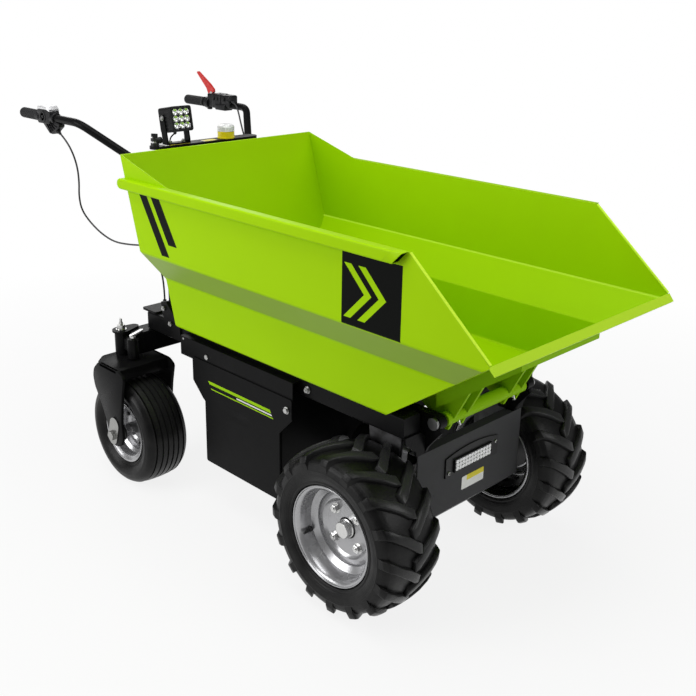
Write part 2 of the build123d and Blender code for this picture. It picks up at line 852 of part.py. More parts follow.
lever_half = 4
with BuildPart() as brake_lever:
    with BuildSketch(Plane.XZ.offset(-grip_half)):
        with BuildLine():
            Polyline(
                [
                    (box_x + 12, grip_z + 26.5),
                    (box_x + 40, grip_z + 35),
                    (box_x + 38, grip_z + 44),
                    (box_x + 20, grip_z + 58),
                    (box_x - 42, grip_z + 95),
                    (box_x - 48, grip_z + 91),
                    (box_x + 2, grip_z + 45),
                ],
                close=True,
            )
        make_face()
        fillet(vertices(), lever_half / 2)
    extrude(amount=lever_half, both=True)
brake_lever.part.label = "brake_lever"

# ---------------------------------------------------------------- console between the uprights
console_half = upright_half - handle_radius - SEAT
bar_top_z = console_high_z + console_bar
with BuildPart() as console:
    with BuildSketch(Plane.XY.offset(console_low_z)):
        with Locations((console_x, 0)):
            RectangleRounded(console_depth, 2 * console_half, 2 * sheet)
    extrude(amount=console_high_z - console_low_z)
    with BuildSketch(Plane.XY.offset(console_high_z)):
        with Locations((console_x, 0)):
            SlotOverall(2 * console_bar_half, console_bar_depth, rotation=90)
    extrude(amount=console_bar)
console.part.label = "console"

with BuildPart() as key_switch:
    for stand_radius, stand_low, stand_high in ((11, 0, 9), (8, 9, 13), (10.5, 13, 21), (6, 21, 25)):
        with BuildSketch(Plane.XY.offset(bar_top_z + SEAT + stand_low)):
            with Locations((console_x, switch_y)):
                Circle(stand_radius)
        extrude(amount=stand_high - stand_low)
key_switch.part.label = "key_switch"

# ---------------------------------------------------------------- work lamp, leaning back on two arms
lamp_plane = Plane(
    (console_x + lamp_depth / 2, lamp_y, lamp_z),
    x_dir=(0, 1, 0),
    z_dir=(cos(radians(lamp_tilt)), 0, sin(radians(lamp_tilt))),
)
lamp_frame = 7
cup_pitch = (lamp_size - 2 * lamp_frame) / 3
with BuildPart() as work_lamp:
    with BuildSketch(lamp_plane):
        RectangleRounded(lamp_size, lamp_size, lamp_frame)
    extrude(amount=-lamp_depth)
    with BuildSketch(lamp_plane):
        RectangleRounded(lamp_size - 2 * lamp_frame, lamp_size - 2 * lamp_frame, lamp_frame / 3)
    extrude(amount=-lamp_frame / 2, mode=Mode.SUBTRACT)
    # nine reflector cups
    with BuildSketch(lamp_plane.offset(-lamp_frame / 2)):
        with GridLocations(cup_pitch, cup_pitch, 3, 3):
            Circle(0.44 * cup_pitch)
    extrude(amount=-0.3 * cup_pitch, mode=Mode.SUBTRACT)
    # cooling slots in the back
    with BuildSketch(lamp_plane.offset(-lamp_depth)):
        with GridLocations(lamp_size / 6, 0, 5, 1):
            Rectangle(lamp_size / 13, 2 * lamp_size)
    extrude(amount=lamp_depth / 3, mode=Mode.SUBTRACT)
    add(ferrule(lead_route, 2 * lead_radius, 3 * lead_radius))
work_lamp.part.label = "work_lamp"

arm_sheet = 4
arm_y = lamp_size / 2 + SEAT + arm_sheet / 2
bar_seat_z = bar_top_z + SEAT
with BuildPart() as lamp_brackets:
    with Locations((console_x, lamp_y, bar_seat_z + arm_sheet / 2)):
        Box(24, 2 * arm_y + arm_sheet, arm_sheet)
    for end in (-1, 1):
        with BuildSketch(Plane.XZ.offset(-lamp_y - end * arm_y)):
            with BuildLine():
                Polyline(
                    [
                        (console_x - 12, bar_seat_z),
                        (console_x + 12, bar_seat_z),
                        (console_x + 12, bar_seat_z + 12),
                        (console_x - 2, lamp_z + 4),
                        (console_x - 8, lamp_z + 9),
                        (console_x - 18, lamp_z + 6),
                        (console_x - 20, lamp_z - 6),
                        (console_x - 12, bar_seat_z + 16),
                    ],
                    close=True,
                )
            make_face()
        extrude(amount=arm_sheet / 2, both=True)
lamp_brackets.part.label = "lamp_brackets"

with BuildPart() as beacon:
    for dome_radius, dome_low, dome_high in (
        (beacon_radius, 0, beacon_height / 2),
        (beacon_radius - 1, beacon_height / 2, beacon_height),
    ):
        with BuildSketch(Plane.XY.offset(bar_seat_z + dome_low)):
            with Locations((console_x, beacon_y)):
                Circle(dome_radius)
        extrude(amount=dome_high - dome_low)
    fillet(beacon.faces().sort_by(Axis.Z)[-1].edges(), beacon_radius / 4)
beacon.part.label = "beacon"

# ---------------------------------------------------------------- cords
cord_parts = []
for cord_name, cord_route, cord_radius in (
    ("throttle_cable", throttle_route, cable_radius),
    ("brake_cable", brake_route, cable_radius),
    ("lamp_lead", lead_route, lead_radius),
):
    radii = bend_radii(cord_route)
    print(cord_name, "bend radii", [round(r) for r in radii])
    with BuildPart() as cord:
        with BuildLine() as cord_line:
            FilletPolyline(*cord_route, radius=radii)
        with BuildSketch(Plane(cord_line.line @ 0, z_dir=cord_line.line % 0)):
            Circle(cord_radius)
        sweep()
    cord_length = sum(e.length for e in cord_line.edges())
    cord_fill = cord.part.volume / (pi * cord_radius**2 * cord_length)
    print(cord_name, "length", round(cord_length), "fill", round(cord_fill, 3))
    cord.part.label = cord_name
    cord_parts.append(cord.part)

# ---------------------------------------------------------------- wheels, one set for each side
# Tyres are many-sided hulls. The drive tyre's lugs sweep from each shoulder past the middle,
# the two rows half a pitch apart; a corner of each ring and of one row is at the very bottom.
tyre_sides = 24
lug_pitch = 360 / lug_count
lug_root_radius = drive_radius - 27
lug_table = (
    # across the tread, lowest radius, highest radius, front edge, rear edge
    (-0.12 * drive_half, lug_root_radius + 6, drive_radius, 47, 21),
    (0.51 * drive_half, lug_root_radius, drive_radius, 3, -19),
    (drive_half, lug_root_radius - 14, drive_radius - 14, -21, -47),
)
lug_turn = -degrees(lug_table[1][3] / drive_radius)
carcass_rings = (
    # across the tread, radius
    (drive_half - 3, drive_radius - 34),
    (0.56 * drive_half, drive_radius - lug_height),
)
caster_rings = (
    (caster_half, caster_radius - 32),
    (caster_half - 9, caster_radius - 9),
    (caster_half - 37, caster_radius),
)


def ring(x, y, z, radius):
    """Corners of a tyre's many-sided outline, y along its axle."""
    turns = [2 * pi * n / tyre_sides for n in range(tyre_sides)]
    return [(x + radius * sin(turn), y, z + radius * cos(turn)) for turn in turns]


def tyre_body(x, y, z, rings, bead, bead_y, seat):
    """Hull through the rings of both sides, hollowed to the beads and bored for the rim."""
    corner = 1 / cos(pi / tyre_sides)
    outer_y, outer_radius = rings[0]
    slope = (outer_radius - seat) / (outer_y - bead_y)
    with BuildPart(mode=Mode.PRIVATE) as body:
        ConvexPolyhedron([p for end in (-1, 1) for across, r in rings for p in ring(x, y + end * across, z, r)])
        for end in (-1, 1):
            face = ring(x, y + end * bead_y, z, seat + 2)
            mouth = ring(x, y + end * (outer_y + 4), z, seat + 4 + slope * (outer_y + 4 - bead_y))
            ConvexPolyhedron(face + mouth, mode=Mode.SUBTRACT)
        bore = [p for end in (-1, 1) for p in ring(x, y + end * (outer_y + 4), z, bead * corner)]
        ConvexPolyhedron(bore, mode=Mode.SUBTRACT)
    return body.part


flange_y = bead_half + SEAT + rim_sheet
well_radius = bead_radius - 14
rim_profile = [
    (-flange_y, drive_rim_radius),
    (-bead_half - SEAT, drive_rim_radius),
    (-bead_half - SEAT, bead_radius - SEAT),
    (-0.55 * bead_half, bead_radius - SEAT),
    (-0.44 * bead_half, well_radius),
    (0.44 * bead_half, well_radius),
    (0.55 * bead_half, bead_radius - SEAT),
    (bead_half + SEAT, bead_radius - SEAT),
    (bead_half + SEAT, drive_rim_radius),
    (flange_y, drive_rim_radius),
    (flange_y, bead_radius - SEAT - rim_sheet),
    (0.51 * bead_half, bead_radius - SEAT - rim_sheet),
    (0.41 * bead_half, well_radius - rim_sheet),
    (-0.41 * bead_half, well_radius - rim_sheet),
    (-0.51 * bead_half, bead_radius - SEAT - rim_sheet),
    (-flange_y, bead_radius - SEAT - rim_sheet),
]
disc_front = bead_half + rim_sheet - drive_disc_inset
disc_rear = disc_front - drive_disc
disc_dish = 6.5
disc_profile = [
    (disc_front, 0),
    (disc_front, 58),
    (disc_front + disc_dish, well_radius - rim_sheet + WELD),
    (disc_rear + disc_dish, well_radius - rim_sheet + WELD),
    (disc_rear, 58),
    (disc_rear, 0),
]
hub_inner_y = axle_tube_half - rail_size + SEAT
hub_face = disc_rear - SEAT
hub_flange = 10
hub_profile = [
    (hub_inner_y - drive_half_track, 0),
    (hub_inner_y - drive_half_track, stub_radius),
    (hub_face - hub_flange, stub_radius),
    (hub_face - hub_flange, 60),
    (hub_face, 60),
    (hub_face, 0),
]
caster_flange_y = caster_bead_half + SEAT + caster_rim_sheet
caster_seat_radius = caster_bead_radius - SEAT
caster_well_radius = caster_bead_radius - 10
caster_rim_profile = [
    (-caster_flange_y, caster_rim_radius),
    (-caster_bead_half - SEAT, caster_rim_radius),
    (-caster_bead_half - SEAT, caster_seat_radius),
    (-0.5 * caster_bead_half, caster_seat_radius),
    (-0.38 * caster_bead_half, caster_well_radius),
    (0.38 * caster_bead_half, caster_well_radius),
    (0.5 * caster_bead_half, caster_seat_radius),
    (caster_bead_half + SEAT, caster_seat_radius),
    (caster_bead_half + SEAT, caster_rim_radius),
    (caster_flange_y, caster_rim_radius),
    (caster_flange_y, caster_seat_radius - caster_rim_sheet),
    (0.46 * caster_bead_half, caster_seat_radius - caster_rim_sheet),
    (0.34 * caster_bead_half, caster_well_radius - caster_rim_sheet),
    (-0.34 * caster_bead_half, caster_well_radius - caster_rim_sheet),
    (-0.46 * caster_bead_half, caster_seat_radius - caster_rim_sheet),
    (-caster_flange_y, caster_seat_radius - caster_rim_sheet),
]
caster_disc_half = 3
caster_hub_half = fork_leg_half - fork_sheet / 2 - 6
spacer_radius = 14
leg_face_y = fork_leg_half + fork_sheet / 2
wheel_parts = []
for side, sign in SIDES:
    drive_y = sign * drive_half_track
    drive_axis = Axis((drive_x, 0, drive_radius), (0, sign, 0))
    wheel_axis = Axis((drive_x, 0, drive_radius), (0, 1, 0))
    drive_plane = Plane((drive_x, drive_y, drive_radius), x_dir=(0, sign, 0), z_dir=(sign, 0, 0))
    lugs = []
    for row, row_turn in ((sign, lug_turn), (-sign, lug_turn + lug_pitch / 2)):
        sections = []
        for across, low, high, front, rear in lug_table:
            corners = [(edge / drive_radius, radius) for edge in (front, rear) for radius in (low, high)]
            sections.append([
                (drive_x + radius * sin(turn), drive_y + row * across, drive_radius + radius * cos(turn))
                for turn, radius in corners
            ])
        with BuildPart() as lug:
            ConvexPolyhedron(sections[0] + sections[1])
            ConvexPolyhedron(sections[1] + sections[2])
        lugs += [lug.part.rotate(wheel_axis, n * lug_pitch + row_turn) for n in range(lug_count)]
    with BuildPart() as drive_tyre:
        add(tyre_body(drive_x, drive_y, drive_radius, carcass_rings, bead_radius, bead_half, drive_rim_radius))
        add(lugs)
    drive_tyre.part.label = f"drive_tyre_{side}"

    # Rim: pressed barrel with a well, a dished disc set towards the outside, and the round hub cap.
    with BuildPart() as drive_rim:
        with BuildSketch(drive_plane):
            with BuildLine():
                Polyline(rim_profile, close=True)
            make_face()
            with BuildLine():
                Polyline(disc_profile, close=True)
            make_face()
        revolve(axis=drive_axis)
        with BuildSketch(Plane((drive_x, drive_y + sign * disc_front, drive_radius), z_dir=(0, sign, 0))):
            Circle(hub_cap_radius)
        extrude(amount=hub_cap_length)
        fillet(drive_rim.faces().filter_by(Plane.XZ).sort_by(drive_axis)[-1].edges(), 3)
    drive_rim.part.label = f"drive_rim_{side}"

    with BuildPart() as drive_hub:
        with BuildSketch(drive_plane):
            with BuildLine():
                Polyline(hub_profile, close=True)
            make_face()
        revolve(axis=drive_axis)
    drive_hub.part.label = f"drive_hub_{side}"

    caster_y = sign * caster_half_track
    caster_axis = Axis((caster_x, 0, caster_radius), (0, sign, 0))
    caster_plane = Plane((caster_x, caster_y, caster_radius), x_dir=(0, sign, 0), z_dir=(sign, 0, 0))
    with BuildPart() as caster_tyre:
        add(
            tyre_body(
                caster_x,
                caster_y,
                caster_radius,
                caster_rings,
                caster_bead_radius,
                caster_bead_half,
                caster_rim_radius,
            )
        )
    caster_tyre.part.label = f"caster_tyre_{side}"

    # Caster rim: drop-centre barrel and a flat disc on a tube hub.
    with BuildPart() as caster_rim:
        with BuildSketch(caster_plane):
            with BuildLine():
                Polyline(caster_rim_profile, close=True)
            make_face()
        revolve(axis=caster_axis)
        with Locations((caster_x, caster_y, caster_radius)):
            Cylinder(caster_well_radius - WELD, 2 * caster_disc_half, rotation=(90, 0, 0))
            Cylinder(caster_hub_radius, 2 * caster_hub_half, rotation=(90, 0, 0))
            Cylinder(caster_axle_radius + FIT, 3 * caster_hub_half, rotation=(90, 0, 0), mode=Mode.SUBTRACT)
    caster_rim.part.label = f"caster_rim_{side}"

    # Axle with its spacers, the washer plates over the slotted fork ends, and the nuts.
    with BuildPart() as caster_axle:
        with Locations((caster_x, caster_y, caster_radius)):
            Cylinder(caster_axle_radius, 2 * (leg_face_y + dropout_sheet + axle_nut), rotation=(90, 0, 0))
        for end in (-1, 1):
            spacer_length = fork_leg_half - fork_sheet / 2 - caster_hub_half - 2 * SEAT
            spacer_y = caster_y + end * (caster_hub_half + SEAT + spacer_length / 2)
            with Locations((caster_x, spacer_y, caster_radius)):
                Cylinder(spacer_radius, spacer_length, rotation=(90, 0, 0))
            plate_plane = Plane(
                (caster_x, caster_y + end * (leg_face_y + SEAT), caster_radius),
                x_dir=(0.28, 0, 0.96),
                z_dir=(0, end, 0),
            )
            with BuildSketch(plate_plane):
                with Locations((14, 0)):
                    SlotOverall(84, 42)
            extrude(amount=dropout_sheet)
            with BuildSketch(plate_plane.offset(dropout_sheet)):
                RegularPolygon(axle_nut_radius, 6)
            extrude(amount=axle_nut)
    caster_axle.part.label = f"caster_axle_{side}"

    # Fork: a bent plate with legs that bulge backwards and taper to the axle, below the swivel boss.
    leg_outline = [
        (caster_x + 46, caster_radius),
        (caster_x + 42, caster_radius + 48),
        (caster_x + 53, fork_top_z - 68),
        (caster_x + 65, fork_top_z - 12),
        (fork_plate_front_x, fork_top_z),
        (caster_x - 59, fork_top_z),
        (caster_x - 84, fork_top_z - 24),
        (caster_x - 90, fork_top_z - 48),
        (caster_x - 84, fork_top_z - 74),
        (caster_x - 51, caster_radius + 70),
        (caster_x - 33, caster_radius + 33),
        (caster_x - 23, caster_radius - 2),
    ]
    plate_length = fork_plate_front_x - fork_plate_rear_x
    with BuildPart() as caster_fork:
        for leg in (-1, 1):
            with BuildSketch(Plane.XZ.offset(-caster_y - leg * fork_leg_half)):
                with BuildLine():
                    Polyline(leg_outline)
                    ThreePointArc(leg_outline[-1], (caster_x + 11, caster_radius - 32), leg_outline[0])
                make_face()
            extrude(amount=fork_sheet / 2, both=True)
        with BuildSketch(Plane.XY.offset(fork_top_z - fork_sheet)):
            with Locations(((fork_plate_rear_x + fork_plate_front_x) / 2, caster_y)):
                Rectangle(plate_length, 2 * fork_leg_half + fork_sheet)
            chamfer(vertices().group_by(Axis.X)[0], caster_x - 59 - fork_plate_rear_x)
        extrude(amount=fork_sheet)
        # swivel boss and kingpin
        for pin_radius, pin_high_z in (
            (head_radius - WELD, head_low_z - SEAT),
            (kingpin_radius, beam_high_z - 2),
        ):
            with BuildSketch(Plane.XY.offset(fork_top_z - WELD)):
                with Locations((swivel_x, caster_y)):
                    Circle(pin_radius)
            extrude(amount=pin_high_z - fork_top_z + WELD)
        with Locations((caster_x, caster_y, caster_radius)):
            Cylinder(caster_axle_radius + FIT, 3 * caster_width, rotation=(90, 0, 0), mode=Mode.SUBTRACT)
    caster_fork.part.label = f"caster_fork_{side}"
    wheel_parts += [
        drive_tyre.part,
        drive_rim.part,
        drive_hub.part,
        caster_tyre.part,
        caster_rim.part,
        caster_axle.part,
        caster_fork.part,
    ]

# ---------------------------------------------------------------- write the files
fixed_parts = [
    tub_shell, tub_rails, pivot_lugs, main_frame, pivot_bar, rear_beam, head_caps, plunger_handles,
    battery_housing, battery_pack, side_covers, side_skirts, front_cover, light_bar, transaxle, drive_motor,
    tub_buffers, handle_tubes, upright_feet, grips, throttle_housing, control_box, brake_lever, console,
    key_switch, work_lamp, lamp_brackets, beacon,
]
for piece in [p.part for p in fixed_parts] + cord_parts + wheel_parts:
    export_step(piece, f"parts/{piece.label}.step")
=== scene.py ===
"""Finishes and small pieces of an electric walk-behind site dumper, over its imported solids, in metres.

+X is the way it travels and tips, +Y its left side, +Z up.
"""

from math import cos, pi, radians, sin

import bmesh
import bpy
from mathutils import Matrix, Vector


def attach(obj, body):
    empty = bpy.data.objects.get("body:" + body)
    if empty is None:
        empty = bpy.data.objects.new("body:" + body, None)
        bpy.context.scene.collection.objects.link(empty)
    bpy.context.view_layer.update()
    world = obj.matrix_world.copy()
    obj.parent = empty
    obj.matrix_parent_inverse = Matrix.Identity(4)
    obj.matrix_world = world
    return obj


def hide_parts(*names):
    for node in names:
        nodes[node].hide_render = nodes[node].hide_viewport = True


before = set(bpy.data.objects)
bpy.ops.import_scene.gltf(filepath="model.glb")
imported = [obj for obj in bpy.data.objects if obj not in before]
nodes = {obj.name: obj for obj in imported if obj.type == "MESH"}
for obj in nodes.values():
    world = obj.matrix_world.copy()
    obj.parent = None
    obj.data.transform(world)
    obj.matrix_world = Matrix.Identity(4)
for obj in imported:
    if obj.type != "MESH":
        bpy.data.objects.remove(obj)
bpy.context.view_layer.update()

# -------------------------------- camera
# A standing eye to the right of the machine's front, looking down along the skip.
# It is turned a little about its own line of sight, as a held camera is.
camera_yaw, camera_pitch, camera_roll = radians(45.41), radians(18.54), radians(0.85)
camera_spot = (1.8076, -1.6327, 1.3281)
camera_back = Vector((
    sin(camera_yaw) * cos(camera_pitch),
    -cos(camera_yaw) * cos(camera_pitch),
    sin(camera_pitch),
))
level_right = Vector((cos(camera_yaw), sin(camera_yaw), 0))
level_up = camera_back.cross(level_right)
camera_right = level_right * cos(camera_roll) + level_up * sin(camera_roll)
camera_up = level_up * cos(camera_roll) - level_right * sin(camera_roll)
camera_data = bpy.data.cameras.new("camera")
camera_data.lens = 49.7
camera_data.sensor_width = 36
camera_data.shift_x = 0.0133
camera_data.shift_y = -0.0541
camera = bpy.data.objects.new("camera", camera_data)
camera_turn = Matrix((camera_right, camera_up, camera_back)).transposed().to_4x4()
camera.matrix_world = Matrix.Translation(camera_spot) @ camera_turn
bpy.context.scene.collection.objects.link(camera)
bpy.context.scene.camera = camera
bpy.context.scene.view_settings.view_transform = "Standard"


# -------------------------------- cables
# Two control cables and the lamp's lead, each in a smooth black plastic jacket. The cables
# leave their controls in an easy bow and go down into glands; the lead drops to the console.
class Wire:
    """A value that runs through a finish; arithmetic on it adds the maths."""

    def __init__(self, look, socket):
        self.look = look
        self.socket = socket

    def maths(self, operation, *others, flip=False):
        values = (*others, self) if flip else (self, *others)
        return self.look.node("Math", {"operation": operation}, dict(enumerate(values)))

    def __add__(self, other):
        return self.maths("ADD", other)

    def __sub__(self, other):
        return self.maths("SUBTRACT", other)

    def __rsub__(self, other):
        return self.maths("SUBTRACT", other, flip=True)

    def __mul__(self, other):
        return self.maths("MULTIPLY", other)

    def __gt__(self, other):
        return self.maths("GREATER_THAN", other)

    def __lt__(self, other):
        return self.maths("LESS_THAN", other)

    def __abs__(self):
        return self.maths("ABSOLUTE")

    __radd__ = __add__
    __rmul__ = __mul__


class Look:
    """A finish being made: its material, its shader and the nodes that feed it."""

    def __init__(self, name, color, roughness=0.5, **fixed):
        self.material = bpy.data.materials.new(name)
        self.material.use_nodes = True
        self.material.diffuse_color = (*color, 1)
        self.shader = self.material.node_tree.nodes["Principled BSDF"]
        self.color = (*color, 1)
        self.feed("Base Color", self.color)
        self.feed("Roughness", roughness)
        for name, value in fixed.items():
            self.feed(name.replace("_", " ").title().replace("Ior", "IOR"), value)

    def join(self, value, socket):
        if isinstance(value, Wire):
            self.material.node_tree.links.new(value.socket, socket)
        else:
            socket.default_value = value

    def feed(self, name, value):
        self.join(value, self.shader.inputs[name])

    def node(self, kind, settings=None, inputs=None, output=0):
        made = self.material.node_tree.nodes.new("ShaderNode" + kind)
        for name, value in (settings or {}).items():
            if name == "stops":
                ramp = made.color_ramp.elements
                while len(ramp) < len(value):
                    ramp.new(1)
                for stop, (position, level) in zip(ramp, value):
                    stop.position = position
                    stop.color = (level, level, level, 1)
            else:
                setattr(made, name, value)
        for name, value in (inputs or {}).items():
            self.join(value, made.inputs[name])
        return Wire(self, made.outputs[output])

    def place(self, stretch=(1, 1, 1)):
        where = self.node("TexCoord", output="Object")
        return self.node("Mapping", inputs={"Vector": where, "Scale": stretch})

    def axes(self):
        split = self.node("SeparateXYZ", inputs={"Vector": self.place()})
        outputs = split.socket.node.outputs
        return [Wire(self, output) for output in outputs]

    def reach(self, along, up, spot):
        """How far a point is from a line across the machine, through a spot given by its X and Z."""
        flat = self.node("CombineXYZ", inputs={"X": along, "Z": up})
        ends = {0: flat, 1: (spot[0], 0, spot[1])}
        return self.node("VectorMath", {"operation": "DISTANCE"}, ends, output=1)

    def noise(self, scale, detail=3, stretch=(1, 1, 1)):
        inputs = {"Vector": self.place(stretch), "Scale": scale, "Detail": detail, "Roughness": 0.55}
        return self.node("TexNoise", inputs=inputs)

    def ramp(self, value, *stops):
        return self.node("ValToRGB", {"stops": stops}, {"Fac": value})

    def mix(self, low, high, mask):
        inputs = {0: mask, 6: low, 7: high}
        return self.node("Mix", {"data_type": "RGBA"}, inputs, output=2)

    def shades(self, mask, dark, light):
        """Base colour that runs between two shades of the finish's own colour."""
        low = [c * dark for c in self.color[:3]] + [1]
        high = [min(1, c * light) for c in self.color[:3]] + [1]
        return self.mix(low, high, mask)

    def spread(self, name, value, low, high):
        self.feed(name, value * (high - low) + low)

    def bump(self, height, distance, strength=1):
        inputs = {"Height": height, "Distance": distance, "Strength": strength}
        self.feed("Normal", self.node("Bump", inputs=inputs))


def wear(look, coarse, fine, depth):
    """Slow mottling in colour and gloss, with fine grain in the surface."""
    mottle = look.noise(coarse, 4)
    look.feed("Base Color", look.shades(mottle, 0.86, 1.12))
    rough = look.shader.inputs["Roughness"].default_value
    look.spread("Roughness", mottle, rough - 0.07, rough + 0.09)
    look.bump(look.noise(fine, 2), depth)
    return look.material


def round_line(name, body, material, radius, runs, kind="POLY", smooth=3):
    """Lay a round bar, bead or wire of one radius along each run of points, in millimetres."""
    line = bpy.data.curves.new(name + "_line", "CURVE")
    line.dimensions = "3D"
    line.bevel_depth = radius
    line.bevel_resolution = smooth
    line.use_fill_caps = True
    for run in runs:
        spline = line.splines.new(kind)
        spline.points.add(len(run) - 1)
        for point, place in zip(spline.points, run):
            point.co = (*[v / 1000 for v in place], 1)
        if kind == "NURBS":
            spline.order_u = 3
            spline.use_endpoint_u = True
    line.materials.append(material)
    piece = bpy.data.objects.new(name, line)
    bpy.context.scene.collection.objects.link(piece)
    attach(piece, body)
    return piece


cable_jacket = wear(Look("cable_jacket", (0.012, 0.012, 0.013), 0.42), 40, 900, 0.00003)
cable_routes = {
    # name: radius, real length, route in millimetres
    "throttle_cable": (0.0025, 0.653, (
        (-676, -291, 929), (-654, -290, 916), (-629, -286, 888), (-616, -280, 846), (-622, -274, 800),
        (-640, -268, 755), (-645, -260, 714), (-624, -250, 682), (-586, -238, 652), (-546, -220, 630),
        (-500, -198, 627), (-456, -176, 630), (-420, -166, 606), (-396, -164, 565), (-388, -163, 520),
        (-388, -163, 482.3),
    )),
    "brake_cable": (0.0025, 0.606, (
        (-624, 278, 984), (-603, 277, 980), (-583, 271, 958), (-560, 261, 928), (-528, 246, 898),
        (-492, 228, 866), (-456, 208, 828), (-428, 190, 780), (-410, 177, 726), (-400, 169, 670),
        (-396, 164, 612), (-392, 163, 558), (-388, 163, 514), (-388, 163, 482.3),
    )),
    "lamp_lead": (0.002, 0.032, (
        (-399, -100, 944), (-406, -104, 937), (-411, -107, 928), (-411, -107, 917),
    )),
}
for name, (cable_radius, cable_length, route) in cable_routes.items():
    cable = round_line(
        name + "_jacket", "chassis", cable_jacket, cable_radius, [route], "NURBS", 4)
    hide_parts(name)

# -------------------------------- floor and light
# A plain pale studio floor that keeps the machine's soft shadow, and a white surround.
# Broad soft lamps stand overhead and on three sides.
floor_mesh = bpy.data.meshes.new("floor")
floor_shape = bmesh.new()
bmesh.ops.create_grid(floor_shape, x_segments=1, y_segments=1, size=30)
floor_shape.to_mesh(floor_mesh)
floor_shape.free()
floor = bpy.data.objects.new("floor", floor_mesh)
bpy.context.scene.collection.objects.link(floor)


def seen_directly(look):
    """1 where the camera, or a mirror or clear surface, looks straight at the surround."""
    outputs = look.node("LightPath").socket.node.outputs
    kinds = ("Camera", "Glossy", "Transmission")
    seen, glossy, clear = (Wire(look, outputs[f"Is {kind} Ray"]) for kind in kinds)
    return seen.maths("MAXIMUM", glossy).maths("MAXIMUM", clear)


floor_look = Look("floor_paper", (0.68, 0.68, 0.68), 0.9, specular_ior_level=0)
floor_look.feed("Base Color", floor_look.shades(floor_look.noise(3, 2), 0.995, 1.0))
floor_glow = floor_look.node("Emission", inputs={"Color": (1, 1, 1, 1), "Strength": 1})
floor_shadow = Wire(floor_look, floor_look.shader.outputs[0])
away = floor_look.node("VectorMath", {"operation": "LENGTH"}, {0: floor_look.place()}, output=1)
paleness = floor_look.ramp(away * 0.25, (0.2, 0.85), (0.6, 1))
pale_share = seen_directly(floor_look) * paleness
floor_mixed = floor_look.node("MixShader", inputs={0: pale_share, 1: floor_shadow, 2: floor_glow})
floor_output = floor_look.material.node_tree.nodes["Material Output"]
floor_look.join(floor_mixed, floor_output.inputs["Surface"])
floor_mesh.materials.append(floor_look.material)

world = bpy.data.worlds.new("surround")
world.use_nodes = True
bpy.context.scene.world = world
world_nodes, world_links = world.node_tree.nodes, world.node_tree.links
surround = world_nodes["Background"]
surround.inputs["Strength"].default_value = 0.2
plain_white = world_nodes.new("ShaderNodeBackground")
light_path = world_nodes.new("ShaderNodeLightPath")
surround_mix = world_nodes.new("ShaderNodeMixShader")
surround.inputs["Color"].default_value = (1, 1, 1, 1)
plain_white.inputs["Color"].default_value = (1, 1, 1, 1)
world_links.new(light_path.outputs["Is Camera Ray"], surround_mix.inputs[0])
world_links.new(surround.outputs[0], surround_mix.inputs[1])
world_links.new(plain_white.outputs[0], surround_mix.inputs[2])
world_links.new(surround_mix.outputs[0], world_nodes["World Output"].inputs["Surface"])

for name, place, aim, size, power in (
    # where it stands, what it points at, its width, its power
    ("overhead", (0.3, -0.6, 3.4), (0.1, 0, 0.5), 2.6, 68),
    ("right", (-1.4, -3.2, 1.8), (0, 0, 0.6), 2.2, 80),
    ("front", (3.2, 0.9, 1.7), (0.4, 0, 0.4), 1.4, 28),
    ("rear", (-3.2, 1.6, 2.4), (-0.2, 0, 0.6), 1.8, 24),
):
    lamp_data = bpy.data.lights.new(name, "AREA")
    lamp_data.size = size
    lamp_data.energy = power
    lamp = bpy.data.objects.new(name, lamp_data)
    lamp_turn = (Vector(place) - Vector(aim)).to_track_quat("Z", "Y").to_matrix().to_4x4()
    lamp.matrix_world = Matrix.Translation(place) @ lamp_turn
    bpy.context.scene.collection.objects.link(lamp)

# -------------------------------- skip
# Pressed and welded 3 mm steel sheet in lime green powder coat, with folded lip and rails.
# A darker grey-green band, painted shade, runs along each downward-facing shoulder; black bars and a panel
# with chevrons lie on each side.
skip_green = (0.34, 0.6, 0.001)
sticker_black = (0.0015, 0.002, 0.0015, 1)


def dress(material, *names):
    for name in names:
        nodes[name].data.materials.clear()
        nodes[name].data.materials.append(material)


def within(value, low, high):
    return (value > low) * (value < high)


def powder_coat(name, color, roughness):
    look = Look(name, color, roughness, specular_ior_level=0.05)
    look.mottle = look.noise(5, 3)
    look.feed("Base Color", look.shades(look.mottle, 0.95, 1.04))
    look.spread("Roughness", look.noise(22, 4), roughness - 0.06, roughness + 0.08)
    look.bump(look.noise(420, 2), 0.00006)
    return look


skip_paint = powder_coat("skip_paint", skip_green, 0.36)
x, y, z = skip_paint.axes()
shoulder_slant = (325.5 - 266) / (681 - 601)
outer_face = abs(y) - ((z - 0.601) * shoulder_slant + 0.266) > -0.0014
shoulder_painted_shade = outer_face * within(z, 0.606, 0.676) * within(abs(y), 0.262, 0.3235)
on_side = abs(y) > 0.3242
# two slanting black bars near the back and a black panel near the front
slant = x + (z - 0.83) * 0.62
bars = within(slant, -0.236, -0.203) * (z > 0.69) + within(slant, -0.186, -0.15) * (z > 0.722)
rear_bars = on_side * (z < 0.832) * bars
panel = on_side * within(x, 0.489, 0.652) * within(z, 0.672, 0.834)
chevron = x + abs(z - 0.753)
stripes = panel * within(z, 0.696, 0.81) * (within(chevron, 0.552, 0.572) + within(chevron, 0.592, 0.612))
sticker = (rear_bars + panel - stripes).maths("MINIMUM", 1)
painted = skip_paint.shades(skip_paint.mottle, 0.95, 1.04)
# a painted highlight: a paler green along the inner shoulder bends and along the lip
bend_and_lip_highlight = (1 - outer_face) * within(z, 0.6785, 0.6825) * (abs(y) > 0.317) + (x > 0.8665) * (z < 0.7)
highlighted = skip_paint.mix(painted, (0.46, 0.72, 0.03, 1), bend_and_lip_highlight.maths("MINIMUM", 1))
# painted shade: the downward-facing outer shoulder is coloured a darker grey-green
shoulder_shaded = skip_paint.mix(highlighted, (0.265, 0.405, 0.065, 1), shoulder_painted_shade)
